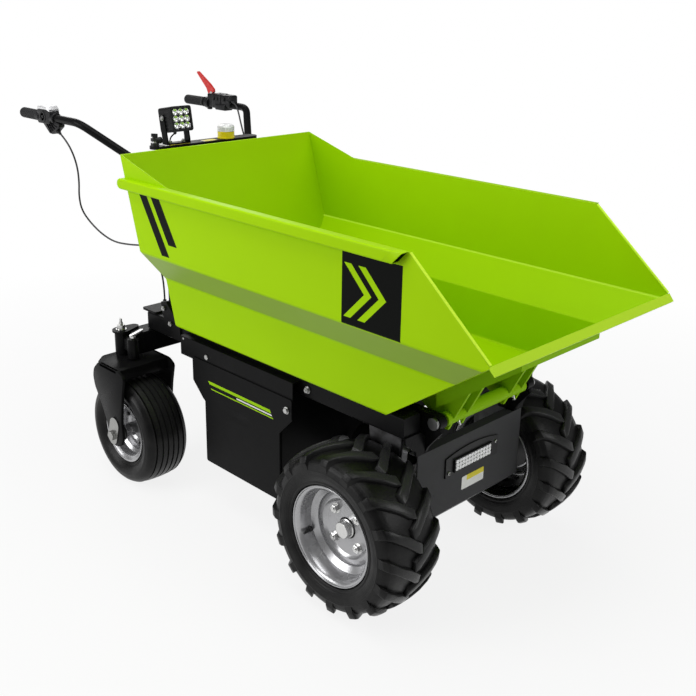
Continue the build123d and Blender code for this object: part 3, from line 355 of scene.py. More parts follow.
# painted shade: a dark green inside the rails' open front ends
rail_end_painted_shade = within(abs(y), 0.3252, 0.3412) * within(z, 0.8393, 0.8617) * (x > 0.6) * (x - z < -0.201)
marked = skip_paint.mix(shoulder_shaded, sticker_black, sticker)
skip_paint.feed("Base Color", skip_paint.mix(marked, (0.003, 0.022, 0.002, 1), rail_end_painted_shade))
dress(skip_paint.material, "tub_shell", "tub_rails")
# the cut front edges of the side walls are rounded, with beads in a lighter green as a painted highlight
edge_highlight_coat = powder_coat("edge_highlight_coat", (0.6, 0.88, 0.05), 0.3).material
wall_edges = [((669, y, 863), (867, y, 695.5)) for y in (-323.8, 323.8)]
round_line("skip_front_edges", "tub", edge_highlight_coat, 0.0026, wall_edges)
# painted shade: the pivot lugs under the chute take a darker copy of the skip's green
bracket_shaded_paint = powder_coat("bracket_shaded_paint", (0.26, 0.5, 0.004), 0.4)
dress(bracket_shaded_paint.material, "pivot_lugs")

# -------------------------------- frame and rear beam
# Welded square tube and folded plate in glossy black powder coat; the rear beam, the caster
# heads, the feet of the handlebar and its tubes are coated the same way.
def black_coat(name, roughness, level=0.0055, coarse=9):
    """Black powder coat: slight orange peel, a few duller patches."""
    look = Look(name, (level, level, level * 1.05), roughness, specular_ior_level=0.055)
    patch = look.noise(coarse, 4)
    look.feed("Base Color", look.shades(patch, 0.8, 1.3))
    look.spread("Roughness", look.noise(30, 4), roughness - 0.07, roughness + 0.12)
    look.bump(look.noise(380, 2) + look.noise(16, 2) * 2, 0.00012)
    return look


black_paint = black_coat("black_paint", 0.27).material
dress(black_paint, "main_frame", "rear_beam", "upright_feet", "handle_tubes", "lamp_brackets")
# the nut and grease nipple on each caster head are zinc plated
heads = black_coat("head_paint", 0.27)
x, y, z = heads.axes()
plated = z > 0.4236
heads.feed("Base Color", heads.mix((0.0055, 0.0055, 0.006, 1), (0.5, 0.5, 0.49, 1), plated))
heads.feed("Metallic", plated)
dress(heads.material, "head_caps")

# -------------------------------- drive tyres
# Open-centre farm tyres in soft black rubber, moulded in one: a rounded carcass with
# sixteen curved lugs on each half, set half a step apart, noses leading at the top.
drive_spot = (500, 287, 197)
lug_steps = 16
lug_stations = (
    # across, leading edge, trailing edge, crown radius, foot radius
    (-10, 46, 22, 196.2, 182), (4, 39, 12, 197, 183), (24, 21, -5, 197, 183), (46, 4, -18, 195, 181),
    (66, -11, -34, 190.5, 175), (80, -19, -44, 185, 162), (86.3, -23, -46, 170, 147),
)


def turned(shape, outline, place, steps, closed=False):
    """Turn an outline of (height, radius) points, in millimetres, round its axis and set it in place."""
    before = set(shape.verts)
    line = [shape.verts.new((radius / 1000, 0, height / 1000)) for height, radius in outline]
    runs = zip(line, line[1:] + line[:1]) if closed else zip(line, line[1:])
    edges = [shape.edges.new(run) for run in runs]
    bmesh.ops.spin(shape, geom=line + edges, axis=(0, 0, 1), angle=2 * pi, steps=steps, use_merge=True)
    made = [v for v in shape.verts if v not in before]
    bmesh.ops.remove_doubles(shape, verts=made, dist=1e-6)
    made = [v for v in shape.verts if v not in before]
    bmesh.ops.transform(shape, matrix=place, verts=made)


def facing(spot, direction):
    """A place, in millimetres, whose own up runs along a direction."""
    turn = Vector(direction).to_track_quat("Z", "Y").to_matrix().to_4x4()
    return Matrix.Translation(Vector(spot) / 1000) @ turn


def set_piece(name, shape, body, material, sharp=32):
    """Close a shape as a piece of the machine that rides on one of its bodies."""
    bmesh.ops.recalc_face_normals(shape, faces=shape.faces[:])
    for face in shape.faces:
        face.smooth = True
    mesh = bpy.data.meshes.new(name)
    shape.to_mesh(mesh)
    shape.free()
    mesh.set_sharp_from_angle(angle=radians(sharp))
    mesh.materials.append(material)
    piece = bpy.data.objects.new(name, mesh)
    bpy.context.scene.collection.objects.link(piece)
    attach(piece, body)
    return piece


def tread_lugs(shape, centre, hand, start):
    """One half's ring of lugs: a drafted bar with eased edges, wrapped on the carcass and spun round."""
    lug = bmesh.new()
    bmesh.ops.create_grid(lug, x_segments=len(lug_stations) - 1, y_segments=1, size=1)
    columns = sorted({round(v.co.x, 4) for v in lug.verts})
    crown = lug.verts[:]
    foot_of = {}
    for vert in crown:
        across, lead, trail, high, foot = lug_stations[columns.index(round(vert.co.x, 4))]
        leading = vert.co.y > 0
        vert.co = (across, lead if leading else trail, high)
        draft = -4 if across < 0 else 0
        foot_of[tuple(vert.co)] = (min(across + draft, 84.5), (lead + 4) if leading else (trail - 4), foot)
    made = bmesh.ops.extrude_face_region(lug, geom=lug.faces[:])["geom"]
    for vert in made:
        if isinstance(vert, bmesh.types.BMVert):
            vert.co = foot_of[tuple(vert.co)]
    rim = [e for e in lug.edges if all(v in crown for v in e.verts) and e.calc_face_angle(0) > 0.6]
    bmesh.ops.bevel(lug, geom=rim, offset=2.4, segments=2, profile=0.5, affect="EDGES", material=-1)
    for vert in lug.verts:
        across, along, high = vert.co
        turn = start + along / drive_spot[2]
        vert.co = Vector((high * sin(turn), hand * across, high * cos(turn))) / 1000 + centre
    bmesh.ops.spin(
        lug, geom=lug.verts[:] + lug.edges[:] + lug.faces[:], cent=centre, axis=(0, 1, 0),
        angle=2 * pi * (lug_steps - 1) / lug_steps, steps=lug_steps - 1, use_duplicate=True,
    )
    ring = bpy.data.meshes.new("lug_ring")
    lug.to_mesh(ring)
    lug.free()
    shape.from_mesh(ring)
    bpy.data.meshes.remove(ring)


def tyre_rubber(name, centre, ringed, crown_radius):
    """Moulded rubber in random dusty patches; towards the lug crowns it is lighter and a little glossier,
    partly as wear and partly as a painted highlight over grooves left in painted shade.
    """
    look = Look(name, (0.011, 0.011, 0.012), 0.5, specular_ior_level=0.17)
    x, y, z = look.axes()
    rise = look.reach(x, z, (centre[0] / 1000, centre[2] / 1000))
    smear = look.noise(26, 5, (1, 0.5, 1))
    fine = look.noise(240, 3)
    dust = look.ramp(smear, (0.42, 0), (0.78, 1)) * 0.7
    # partly wear, partly painted highlight: lighter and glossier towards the lug crowns
    crown_wear_and_highlight = look.ramp((rise - crown_radius) * 110, (0, 0), (1, 1))
    dusty = look.mix((0.0025, 0.0025, 0.0027, 1), (0.014, 0.0136, 0.0132, 1), dust)
    look.feed("Base Color", look.mix(dusty, (0.03, 0.03, 0.0305, 1), crown_wear_and_highlight * 0.8))
    look.feed("Roughness", look.noise(14, 4) * 0.24 + 0.26 - crown_wear_and_highlight * 0.1)
    rings = look.node("Math", {"operation": "SINE"}, {0: rise * 1500}) * 0.12
    look.bump(fine * 0.6 + rings * ringed + look.noise(45, 4), 0.0007, 0.65)
    return look.material


drive_rubber = tyre_rubber("tyre_rubber", drive_spot, 1, 0.1855)
carcass_half = (
    (68, 107), (72, 119), (77, 120), (79, 124), (78, 127), (82, 134), (84.4, 143), (84.4, 149),
    (85.2, 151), (85.2, 154), (84.2, 156), (83.4, 162), (79, 171), (70, 177.5), (55, 181.5), (38, 184),
    (18, 185.5),
)
carcass_line = carcass_half + tuple((-across, radius) for across, radius in reversed(carcass_half))
for side, hand in (("right", -1), ("left", 1)):
    spot = Vector((drive_spot[0], hand * drive_spot[1], drive_spot[2]))
    tyre = bmesh.new()
    turned(tyre, carcass_line, facing(spot, (0, hand, 0)), 96, closed=True)
    tread_lugs(tyre, spot / 1000, hand, 0.1)
    tread_lugs(tyre, spot / 1000, -hand, 0.1 + pi / lug_steps)
    wheel = "drive_wheel_" + side
    piece = set_piece("drive_tyre_tread_" + side, tyre, wheel, drive_rubber, 38)
    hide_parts("drive_tyre_" + side)

# -------------------------------- drive rims
# Pressed steel rims in silver lacquer: rolled flanges, a dropped well and a dished disc,
# held by four wheel nuts, with a polished cap over the axle end and a rubber valve.
def silver_lacquer(name, dark_inside):
    """Silver paint with a fine metal flake; on the side that faces the machine all but the flange is painted
    near black, as painted shade.
    """
    look = Look(name, (0.42, 0.42, 0.43), 0.27, metallic=0.75)
    x, y, z = look.axes()
    grime = look.ramp(look.noise(14, 3), (0.5, 0), (0.95, 1))
    flake = look.noise(900, 2)
    painted = look.mix(look.shades(flake, 0.8, 1.15), (0.07, 0.068, 0.062, 1), grime * 0.2)
    if dark_inside:
        # painted shade: the machine-facing side is near black, but for the flange
        inside = abs(y) < (drive_spot[1] - 10) / 1000
        flange = look.reach(x, z, (drive_spot[0] / 1000, drive_spot[2] / 1000)) > 0.1125
        shade = inside - inside * flange
        look.feed("Base Color", look.mix(painted, (0.008, 0.008, 0.008, 1), shade))
        look.feed("Metallic", (1 - shade) * 0.7)
    else:
        look.feed("Base Color", painted)
    look.spread("Roughness", grime, 0.25, 0.38)
    look.bump(flake + look.noise(14, 2) * 3, 0.00003)
    return look.material


drive_silver = silver_lacquer("rim_silver", True)
bright_metal = wear(Look("polished_metal", (0.66, 0.66, 0.65), 0.2, metallic=1), 60, 300, 0.00003)
zinc_plate = wear(Look("zinc", (0.5, 0.5, 0.49), 0.3, metallic=1), 70, 380, 0.00005)
valve_rubber = wear(Look("valve_rubber", (0.012, 0.012, 0.012), 0.6), 60, 500, 0.00005)
rim_line = (
    (77.3, 116), (76.3, 117), (73.5, 117), (71.5, 110), (66, 106.5), (31, 104), (24, 91), (-24, 91),
    (-31, 104), (-66, 106.5), (-71.5, 110), (-73.5, 117), (-76.3, 117), (-77.3, 116), (-77, 114.4),
    (-74.4, 113.2), (-73.9, 111), (-71.5, 108.5), (-66, 103.6), (-35, 101), (-27, 87), (27, 87),
    (36, 101), (66, 103.6), (71.5, 108.5), (73.9, 111), (74.4, 113.2), (77, 114.4),
)
disc_line = (
    (20, 25), (20, 62), (22, 66), (27.5, 71), (27.5, 80), (23, 87.6), (15, 88.5), (15, 84),
    (20, 78), (19.5, 72), (12, 64), (12, 25),
)
cap_line = ((18, 22.5), (24, 22), (25, 20.5), (36, 20), (39, 18), (40, 14), (39.4, 9), (39.2, 0))


def hex_nut(shape, place, flat_to_flat, high, bore=0):
    """A washer with a six-sided nut on it, its corners chamfered, and a stud end if it has a bore."""
    corner = flat_to_flat / 2 / cos(pi / 6)
    washer = corner * 1.22
    turned(shape, ((0, 0), (0, washer), (1.6, washer), (1.6, 0)), place, 24)
    hexagon = ((1.2, 0), (1.2, corner), (high - 1, corner), (high, corner * 0.86))
    if not bore:
        turned(shape, (*hexagon, (high, 0)), place, 6)
        return
    turned(shape, (*hexagon, (high, bore), (high - 2, bore), (high - 2, 0)), place, 6)
    stud, chamfer = bore * 0.9, bore * 0.7
    low, top = high - 2.5, high + 2.5
    stud_line = ((low, 0), (low, stud), (top - 1, stud), (top, chamfer), (top, 0))
    turned(shape, stud_line, place, 12)


def nut_ring(shape, place, count, radius, high, first, *nut):
    """Nuts evenly round a circle, standing on a disc."""
    for step in range(count):
        turn = first + step * 2 * pi / count
        spot = Matrix.Translation((radius * cos(turn), radius * sin(turn), high))
        hex_nut(shape, place @ spot, *nut)


valve_line = ((-8, 0), (-8, 6.5), (-2, 6.5), (0, 4.5), (14, 4), (15, 3), (22, 3), (23, 2), (23, 0))
for side, hand in (("right", -1), ("left", 1)):
    spot = Vector((drive_spot[0], hand * drive_spot[1], drive_spot[2]))
    outward = facing(spot, (0, hand, 0))
    wheel = "drive_wheel_" + side
    rim = bmesh.new()
    turned(rim, rim_line, outward, 96, closed=True)
    turned(rim, disc_line, outward, 96, closed=True)
    piece = set_piece("drive_rim_pressing_" + side, rim, wheel, drive_silver, 40)
    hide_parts("drive_rim_" + side)
    cap = bmesh.new()
    turned(cap, cap_line, outward, 48)
    nut_ring(cap, outward, 4, 0.05, 0.0195, pi / 4, 17, 11, 5)
    set_piece("wheel_nuts_" + side, cap, wheel, bright_metal)
    valve = bmesh.new()
    round_rim = outward @ Matrix.Rotation(radians(200), 4, "Z")
    stem = round_rim @ Matrix.Translation((0.098, 0, 0.05)) @ Matrix.Rotation(radians(-18), 4, "Y")
    turned(valve, valve_line, stem, 16)
    set_piece("tyre_valve_" + side, valve, wheel, valve_rubber)
hub_iron = wear(Look("hub_iron", (0.05, 0.05, 0.05), 0.45, metallic=0.7), 60, 300, 0.0001)
dress(hub_iron, "drive_hub_right", "drive_hub_left")

# -------------------------------- caster tyres
# Ribbed trolley tyres, moulded in one: a round carcass with straight grooves round the
# tread, fine rings on the side wall, and narrow beads over the rim.
caster_spot = (-333, 302, 152)
caster_half_line = [
    (46.5, 76), (48, 89), (54, 94), (55.5, 97), (54.5, 99), (60, 106), (63.6, 114),
    (64.9, 121), (64.9, 123), (64, 125), (63.8, 130), (61, 137), (56, 142.5), (51, 146),
]
for groove, crown in ((43, 149), (25, 151.2), (8.5, 152)):
    floor_radius = crown - 3.4
    caster_half_line += [(groove + 2.6, crown), (groove + 1.8, floor_radius)]
    caster_half_line += [(groove - 1.8, floor_radius), (groove - 2.6, crown)]
caster_line = caster_half_line + [(-across, radius) for across, radius in reversed(caster_half_line)]
caster_rubber = tyre_rubber("caster_rubber", caster_spot, 0.6, 0.146)
for side, hand in (("right", -1), ("left", 1)):
    tyre = bmesh.new()
    outward = facing((caster_spot[0], hand * caster_spot[1], caster_spot[2]), (0, hand, 0))
    turned(tyre, caster_line, outward, 96, closed=True)
    wheel = "caster_wheel_" + side
    piece = set_piece("caster_tyre_tread_" + side, tyre, wheel, caster_rubber, 50)
    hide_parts("caster_tyre_" + side)

# -------------------------------- caster rims
# Two pressed halves bolted back to back over a tubular hub, in the same silver lacquer,
# with five black nuts on each side and a black seal round each end of the hub.
caster_rim_line = (
    (52.3, 88), (49, 88), (47.2, 77), (22, 76), (16, 66.5), (-16, 66.5), (-22, 76), (-47.2, 77),
    (-49, 88), (-52.3, 88), (-52.3, 85.5), (-50, 82.5), (-46, 73), (-25, 71.5), (-19, 62), (19, 62),
    (25, 71.5), (46, 73), (50, 82.5), (52.3, 85.5),
)
caster_disc_line = (
    (8, 18), (8, 27), (3, 31), (3, 38), (9, 44), (9, 52), (4, 62.5),
    (-4, 62.5), (-9, 52), (-9, 44), (-3, 38), (-3, 31), (-8, 27), (-8, 18),
)
caster_hub_line = ((-70, 9.6), (-70, 14), (-68, 16), (-60, 19), (60, 19), (68, 16), (70, 14), (70, 9.6))
caster_silver = silver_lacquer("caster_silver", False)
seal_rubber = wear(Look("seal_rubber", (0.01, 0.01, 0.01), 0.5), 60, 500, 0.00005)
for side, hand in (("right", -1), ("left", 1)):
    outward = facing((caster_spot[0], hand * caster_spot[1], caster_spot[2]), (0, hand, 0))
    wheel = "caster_wheel_" + side
    rim = bmesh.new()
    turned(rim, caster_rim_line, outward, 80, closed=True)
    turned(rim, caster_disc_line, outward, 80, closed=True)
    turned(rim, caster_hub_line, outward, 40, closed=True)
    piece = set_piece("caster_rim_pressing_" + side, rim, wheel, caster_silver, 40)
    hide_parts("caster_rim_" + side)
    seals = bmesh.new()
    for end in (1, -1):
        face = outward @ Matrix.Rotation(0 if end > 0 else pi, 4, "X")
        turned(seals, ((56, 19.4), (56, 24), (60, 25), (63, 23.5), (64, 19.4)), face, 40, closed=True)
        nut_ring(seals, face, 5, 0.048, 0.0085, 0, 9, 6)
    set_piece("caster_hub_seals_" + side, seals, wheel, seal_rubber)
axle_zinc = wear(Look("axle_zinc", (0.34, 0.34, 0.33), 0.24, metallic=1), 70, 380, 0.0001)
dress(axle_zinc, "caster_axle_right", "caster_axle_left")

# -------------------------------- caster forks
# Two plate legs that bulge backwards and taper to the axle, welded under a top plate with a
# folded front lip; the turned kingpin stands on it. All in the frame's black coat.
def plate(shape, outline, place, thick, ease=0.0, corner=0.0):
    """Cut a plate to an outline in millimetres, round its corners, thicken it and ease its upper edges."""
    before = set(shape.verts)
    shape.faces.new([shape.verts.new((u / 1000, v / 1000, 0)) for u, v in outline])
    corners = [v for v in shape.verts if v not in before]
    if corner:
        bmesh.ops.bevel(
            shape, geom=corners, offset=corner / 1000,
            segments=4, profile=0.5, affect="VERTICES", material=-1)
    sheet = [f for f in shape.faces if all(v not in before for v in f.verts)]
    raised = bmesh.ops.extrude_face_region(shape, geom=sheet)["geom"]
    lifted = [v for v in raised if isinstance(v, bmesh.types.BMVert)]
    bmesh.ops.translate(shape, verts=lifted, vec=(0, 0, thick / 1000))
    if ease:
        rim = [e for e in shape.edges if all(v in lifted for v in e.verts)]
        bmesh.ops.bevel(
            shape, geom=rim, offset=ease / 1000, segments=2, profile=0.5, affect="EDGES", material=-1)
    made = [v for v in shape.verts if v not in before]
    bmesh.ops.transform(shape, matrix=place, verts=made)


def seen_from(spot, right, out):
    """A place, in millimetres, with its own X to the right and its own Z out of the face."""
    right, out = Vector(right).normalized(), Vector(out).normalized()
    turn = Matrix((right, out.cross(right), out)).transposed().to_4x4()
    return Matrix.Translation(Vector(spot) / 1000) @ turn


leg_line = (
    (-287, 152), (-291, 200), (-280, 282), (-268, 336), (-292, 350), (-392, 350), (-417, 326), (-423, 302),
    (-417, 274), (-386, 226), (-366, 185), (-356, 150), (-347, 129), (-325, 120), (-300, 127),
)
top_line = ((-294, -84), (-294, 84), (-394, 84), (-428, 48), (-428, -48), (-394, -84))
lip_line = ((-77, 318), (77, 318), (77, 345), (-77, 345))
kingpin_line = ((349, 0), (349, 18), (353, 18), (354.7, 16.5), (354.7, 11), (415.7, 11), (415.7, 0))
kingpin_x, leg_half, leg_sheet = -400, 80, 8
for side, hand in (("right", -1), ("left", 1)):
    fork = bmesh.new()
    fork_y = hand * caster_spot[1]
    for out in (-1, 1):
        flat = [(out * -along, up) for along, up in leg_line]
        leg_y = fork_y + out * (leg_half - leg_sheet / 2)
        plate(fork, flat, seen_from((0, leg_y, 0), (-out, 0, 0), (0, out, 0)), leg_sheet, 1.2, 8)
    plate(fork, top_line, seen_from((0, fork_y, 342), (1, 0, 0), (0, 0, 1)), 8, 1.5, 9)
    plate(fork, lip_line, seen_from((-301, fork_y, 0), (0, 1, 0), (1, 0, 0)), 7, 1.5, 4)
    turned(fork, kingpin_line, facing((kingpin_x, fork_y, 0), (0, 0, 1)), 40)
    piece = set_piece("fork_weldment_" + side, fork, "caster_fork_" + side, black_paint)
    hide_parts("caster_fork_" + side)

# -------------------------------- hinge and its gussets
# Zinc-plated hinge bar with turned heads, two grease nipples under its tube, and on each
# side a black gusset plate that carries the bar's ear down to the front cover.
bar_steel = wear(Look("bar_steel", (0.3, 0.3, 0.3), 0.32, metallic=1), 70, 380, 0.00008)
dress(bar_steel, "pivot_bar")
gusset_line = (
    (548, 366), (594, 366), (603, 385), (637, 427), (634, 436), (612, 436), (606, 446), (598, 452),
    (560, 470), (548, 470),
)


def seen_from_right(y):
    """A place for plates that stand along the machine, cut as they look from its right side."""
    return seen_from((0, y, 0), (1, 0, 0), (0, -1, 0))


gussets = bmesh.new()
for y in (-159, 167):
    plate(gussets, gusset_line, seen_from_right(y), 8, 1)
set_piece("ear_gussets", gussets, "chassis", black_paint)
nipple_line = ((-2, 0), (-2, 4), (2, 4), (3, 2.6), (6, 2.6), (6, 3.4), (8, 3.4), (9, 2), (9, 0))
hinge_trim = bmesh.new()
for y in (-100, 100):
    turned(hinge_trim, nipple_line, facing((631, y, 435), (0.5, 0, -0.8)), 12)
set_piece("hinge_fasteners", hinge_trim, "tub", zinc_plate)

# -------------------------------- rail ends
# The folded channels on the skip's side walls run on to the front corners, where they are
# cut on a slant and left open.
rail_outside = (
    (325.6, 864), (339, 864), (342.2, 862.7), (343.5, 859.5), (343.5, 841.5), (342.2, 838.3), (339, 837),
    (325.6, 837),
)
rail_inside = (
    (325.6, 861.5), (339, 861.5), (340.4, 860.9), (341, 859.5), (341, 841.5), (340.4, 840.1), (339, 839.5),
    (325.6, 839.5),
)
rail_section = rail_outside + rail_inside[::-1]
rail_top_x, rail_top_z, rail_gap, rail_run = 636, 864, 0.3, 27
slant_cut = Matrix.Identity(4)
slant_cut[0][2] = 1
rail_ends = bmesh.new()
rail_start = slant_cut @ seen_from((rail_top_x - rail_top_z + rail_gap, 0, 0), (0, 1, 0), (1, 0, 0))
for hand in (-1, 1):
    plate(rail_ends, [(hand * y, z) for y, z in rail_section], rail_start, rail_run - rail_gap)
set_piece("rail_front_ends", rail_ends, "tub", skip_paint.material)

# -------------------------------- welds
# Rippled weld beads in the joints between three cross members and the rails, in the same
# black coat. They lie within the joints, where the members cover them.
weld_coat = Look("weld_coat", (0.009, 0.009, 0.009), 0.34, specular_ior_level=0.2)
weld_coat.bump(weld_coat.noise(330, 1), 0.001)
beads = [((x, y, 420), (x, y, 466)) for y in (-184, 184) for x in (-159, 191, 481)]
round_line("frame_welds", "chassis", weld_coat.material, 0.0022, beads)

# -------------------------------- fasteners of the frame and covers
# Zinc-plated flange bolts through the covers, nuts on studs through the rails and their
# bracket plates, and a domed screw through each skirt.
screw_line = ((0, 0), (0, 5), (1.6, 4.6), (3, 3), (3.4, 0))
fasteners = bmesh.new()
for hand in (-1, 1):
    for x, y, z in ((249, 264, 383), (-64, 258, 426)):
        hex_nut(fasteners, facing((x, hand * y, z), (0, hand, 0)), 13, 6)
    hex_nut(fasteners, facing((290, hand * 234.3, 440), (0, hand, 0)), 13, 7, 3.5)
    for x, z in ((-278, 501), (-249, 464)):
        hex_nut(fasteners, facing((x, hand * 237, z), (0, hand, 0)), 13, 8, 4)
    turned(fasteners, screw_line, facing((-165, hand * 257.5, 449), (0, hand, 0)), 16)
set_piece("cover_bolts", fasteners, "chassis", zinc_plate)

# -------------------------------- battery housing, side covers and skirts
# Folded 3 mm sheet in satin black, slightly dished, with plain lime and pale lines along the
# covers and a small plain amber plate on each skirt.
cover_coat = black_coat("cover_coat", 0.36, 0.0045, 6)
x, y, z = cover_coat.axes()
on_cover = abs(y) > 0.2632
slope = x + (z - 0.35) * 0.6
wide_and_thin = within(z, 0.356, 0.364) + within(z, 0.343, 0.346)
lime_lines = on_cover * within(slope, -0.048, 0.196) * wide_and_thin
pale_line = on_cover * within(slope, 0.06, 0.196) * within(z, 0.349, 0.353)
mottled = cover_coat.shades(cover_coat.noise(6, 4), 0.8, 1.3)
lined = cover_coat.mix(mottled, (0.3, 0.55, 0.004, 1), lime_lines)
cover_coat.feed("Base Color", cover_coat.mix(lined, (0.7, 0.7, 0.68, 1), pale_line))
dent = cover_coat.reach(x + z * 0.1, z * 4, (0.09, 1.196))
cover_coat.bump(cover_coat.ramp(dent * 16, (0, 0), (1, 1)) * 1.2 + cover_coat.noise(300, 2) * 0.05, 0.0012)
dress(cover_coat.material, "side_covers")
skirt_coat = black_coat("skirt_coat", 0.34, 0.005, 8).material
dress(skirt_coat, "side_skirts", "battery_housing")
amber_vinyl = wear(Look("amber_vinyl", (0.75, 0.42, 0.09), 0.4, specular_ior_level=0.3), 60, 500, 0.00002)
skirt_plates = bmesh.new()
for hand in (-1, 1):
    face = seen_from((-97, hand * 257.5, 432), (-hand, 0, 0), (0, hand, 0))
    plate(skirt_plates, ((-9, -12), (9, -12), (9, 12), (-9, 12)), face, 0.5, 0, 2)
set_piece("skirt_plates", skirt_plates, "chassis", amber_vinyl)
battery_case = wear(Look("battery_case", (0.02, 0.021, 0.025), 0.5, specular_ior_level=0.3), 25, 700, 0.0001)
dress(battery_case, "battery_pack")

# -------------------------------- transaxle and motor
# Cast aluminium gear case, darkened by oil and dust between the drive wheels, with the motor
# bolted behind it in black paint.
cast_metal = Look("cast_metal", (0.13, 0.13, 0.135), 0.5, metallic=0.7)
oil = cast_metal.ramp(cast_metal.noise(22, 4), (0.45, 0), (0.75, 1))
cast_metal.feed("Base Color", cast_metal.mix((0.15, 0.15, 0.155, 1), (0.03, 0.028, 0.025, 1), oil))
cast_metal.spread("Roughness", oil, 0.55, 0.35)
cast_metal.bump(cast_metal.noise(420, 3), 0.0004)
dress(cast_metal.material, "transaxle")
motor_paint = black_coat("motor_paint", 0.36, 0.012, 12).material
dress(motor_paint, "drive_motor")

# -------------------------------- front cover and light bar
# Folded dark grey sheet with a black moulded surround on two screws; behind its window lie
# three rows of small bright reflectors. A plain two-colour plate is stuck below.
cover_grey = black_coat("cover_grey", 0.42, 0.05, 5).material
dress(cover_grey, "front_cover")
moulding = wear(
    Look("black_moulding", (0.009, 0.009, 0.0095), 0.36, specular_ior_level=0.22), 30, 800, 0.00006)
dress(moulding, "light_bar")
cell_silver = wear(Look("cell_silver", (0.86, 0.86, 0.87), 0.2, metallic=0.25), 200, 900, 0.00001)
light_face = seen_from((602.1, 0, 303), (0, 1, 0), (1, 0, 0))
cell_line = ((0, 0), (0, 5.35), (2.3, 5.35), (2.3, 4.6), (0.5, 2.6), (0.5, 1.9), (1.7, 1.6), (1.9, 0))
cells = bmesh.new()
for column in range(12):
    for row in range(3):
        cell = light_face @ Matrix.Translation(((column - 5.5) * 0.0108, (row - 1) * 0.0092, 0))
        turned(cells, cell_line, cell, 10)
set_piece("light_bar_cells", cells, "chassis", cell_silver, 50)
socket_screw_line = ((-0.5, 0), (-0.5, 5), (1, 5), (3, 3.8), (3.4, 2.4), (2, 2.2), (2, 0))
dark_screws = bmesh.new()
for y, z in ((-86, 290), (86, 314)):
    turned(dark_screws, socket_screw_line, facing((600.3, y, z), (1, 0, 0)), 18)
set_piece("light_bar_screws", dark_screws, "chassis", axle_zinc)
vinyl = Look("plain_plate", (0.8, 0.8, 0.78), 0.35, specular_ior_level=0.3)
x, y, z = vinyl.axes()
white = vinyl.shades(vinyl.noise(40, 3), 0.95, 1.05)
vinyl.feed("Base Color", vinyl.mix(white, (0.72, 0.62, 0.02, 1), (z > 0.2445) * (y > -0.012)))
vinyl.bump(vinyl.noise(400, 2), 0.00002)
front_plate = bmesh.new()
plate_line = ((-30, 225), (52, 225), (52, 258), (-30, 258))
plate(front_plate, plate_line, seen_from((596, 0, 0), (0, 1, 0), (1, 0, 0)), 0.6, 0, 3)
set_piece("front_plate", front_plate, "chassis", vinyl.material)

# -------------------------------- grips
# Soft moulded grips pushed on the ends of the handlebar: closely ringed, with a rounded
# end and a flange towards the controls.
soft_grip = wear(Look("grip_rubber", (0.018, 0.018, 0.019), 0.55, specular_ior_level=0.25), 40, 700, 0.0001)
grip_line = [(0, 0), (0, 9), (1.2, 12.5), (4, 14.6), (7, 15)]
for ring in range(22):
    at = 9 + ring * 3.8
    grip_line += [(at, 14.9), (at + 0.7, 13.9), (at + 1.5, 13.9), (at + 2.2, 14.9)]
grip_line += [(93.5, 14.9), (95, 15.5), (100, 15.5), (100.5, 15), (100.5, 0)]
grip_end_x, tube_y, tube_z = -882, 292, 970
grips = bmesh.new()
for hand in (-1, 1):
    turned(grips, grip_line, facing((grip_end_x, hand * tube_y, tube_z), (1, 0, 0)), 40)
piece = set_piece("ringed_grips", grips, "chassis", soft_grip, 50)
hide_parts("grips")

# -------------------------------- throttle
# Moulded throttle on the right tube: two collars, a rounded housing with a silver-coloured
# cap, a ring on its side, and a ribbed wedge below that lets the cable out.
def block(shape, low, high, ease):
    """A moulded block between two corners, in millimetres, with rounded edges."""
    before = set(shape.verts)
    bmesh.ops.create_cube(shape, size=1)
    made = [v for v in shape.verts if v not in before]
    low, high = Vector(low) / 1000, Vector(high) / 1000
    bmesh.ops.scale(shape, vec=high - low, verts=made)
    bmesh.ops.translate(shape, vec=(low + high) / 2, verts=made)
    edges = [e for e in shape.edges if all(v not in before for v in e.verts)]
    bmesh.ops.bevel(
        shape, geom=edges, offset=ease / 1000, segments=3, profile=0.5, affect="EDGES", material=-1)


controls_plastic = wear(
    Look("controls_plastic", (0.008, 0.008, 0.009), 0.34, specular_ior_level=0.2), 50, 900, 0.00008)
throttle = bmesh.new()
along_tube = facing((0, -tube_y, tube_z), (1, 0, 0))
rear_collar = ((-781, 11.1), (-781, 16), (-779, 17.5), (-770, 17.5), (-768, 16), (-768, 11.1))
front_collar = ((-706, 11.1), (-706, 15), (-704, 16), (-690, 16), (-688, 14.5), (-688, 11.1))
for collar_line in (rear_collar, front_collar):
    turned(throttle, collar_line, along_tube, 36, closed=True)
housing_line = ((-772, 952), (-704, 954), (-700, 990), (-716, 999), (-764, 997), (-774, 984))
plate(throttle, housing_line, seen_from_right(-277), 30, 2, 6)
wedge_line = ((-766, 962), (-720, 927), (-702, 926), (-664, 950), (-664, 958), (-700, 968))
plate(throttle, wedge_line, seen_from_right(-283), 18, 1.2, 2.5)
for step in range(4):
    x, z = step * 11, step * 6
    rib_line = ((x - 712, z + 931), (x - 709, z + 929), (x - 733, 958), (x - 737, 957))
    plate(throttle, rib_line, seen_from_right(-299), 4.5, 0.6, 0.8)
ring_line = ((-2, 0), (-2, 17), (1.5, 17), (3, 15.5), (3, 11.5), (1, 10.5), (1, 5), (3, 4.4), (3, 0))
turned(throttle, ring_line, facing((-741, -306, 972), (0, -1, 0)), 40)
ferrule_line = ((-30, 0), (-30, 6), (-8, 6), (-6, 4), (-1, 4), (0, 3.2), (0, 0))
turned(throttle, ferrule_line, facing((-676, -291, 929), (22, 1, -13)), 20)
piece = set_piece("throttle_moulding", throttle, "chassis", controls_plastic)
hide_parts("throttle_housing")
throttle_cap = bmesh.new()
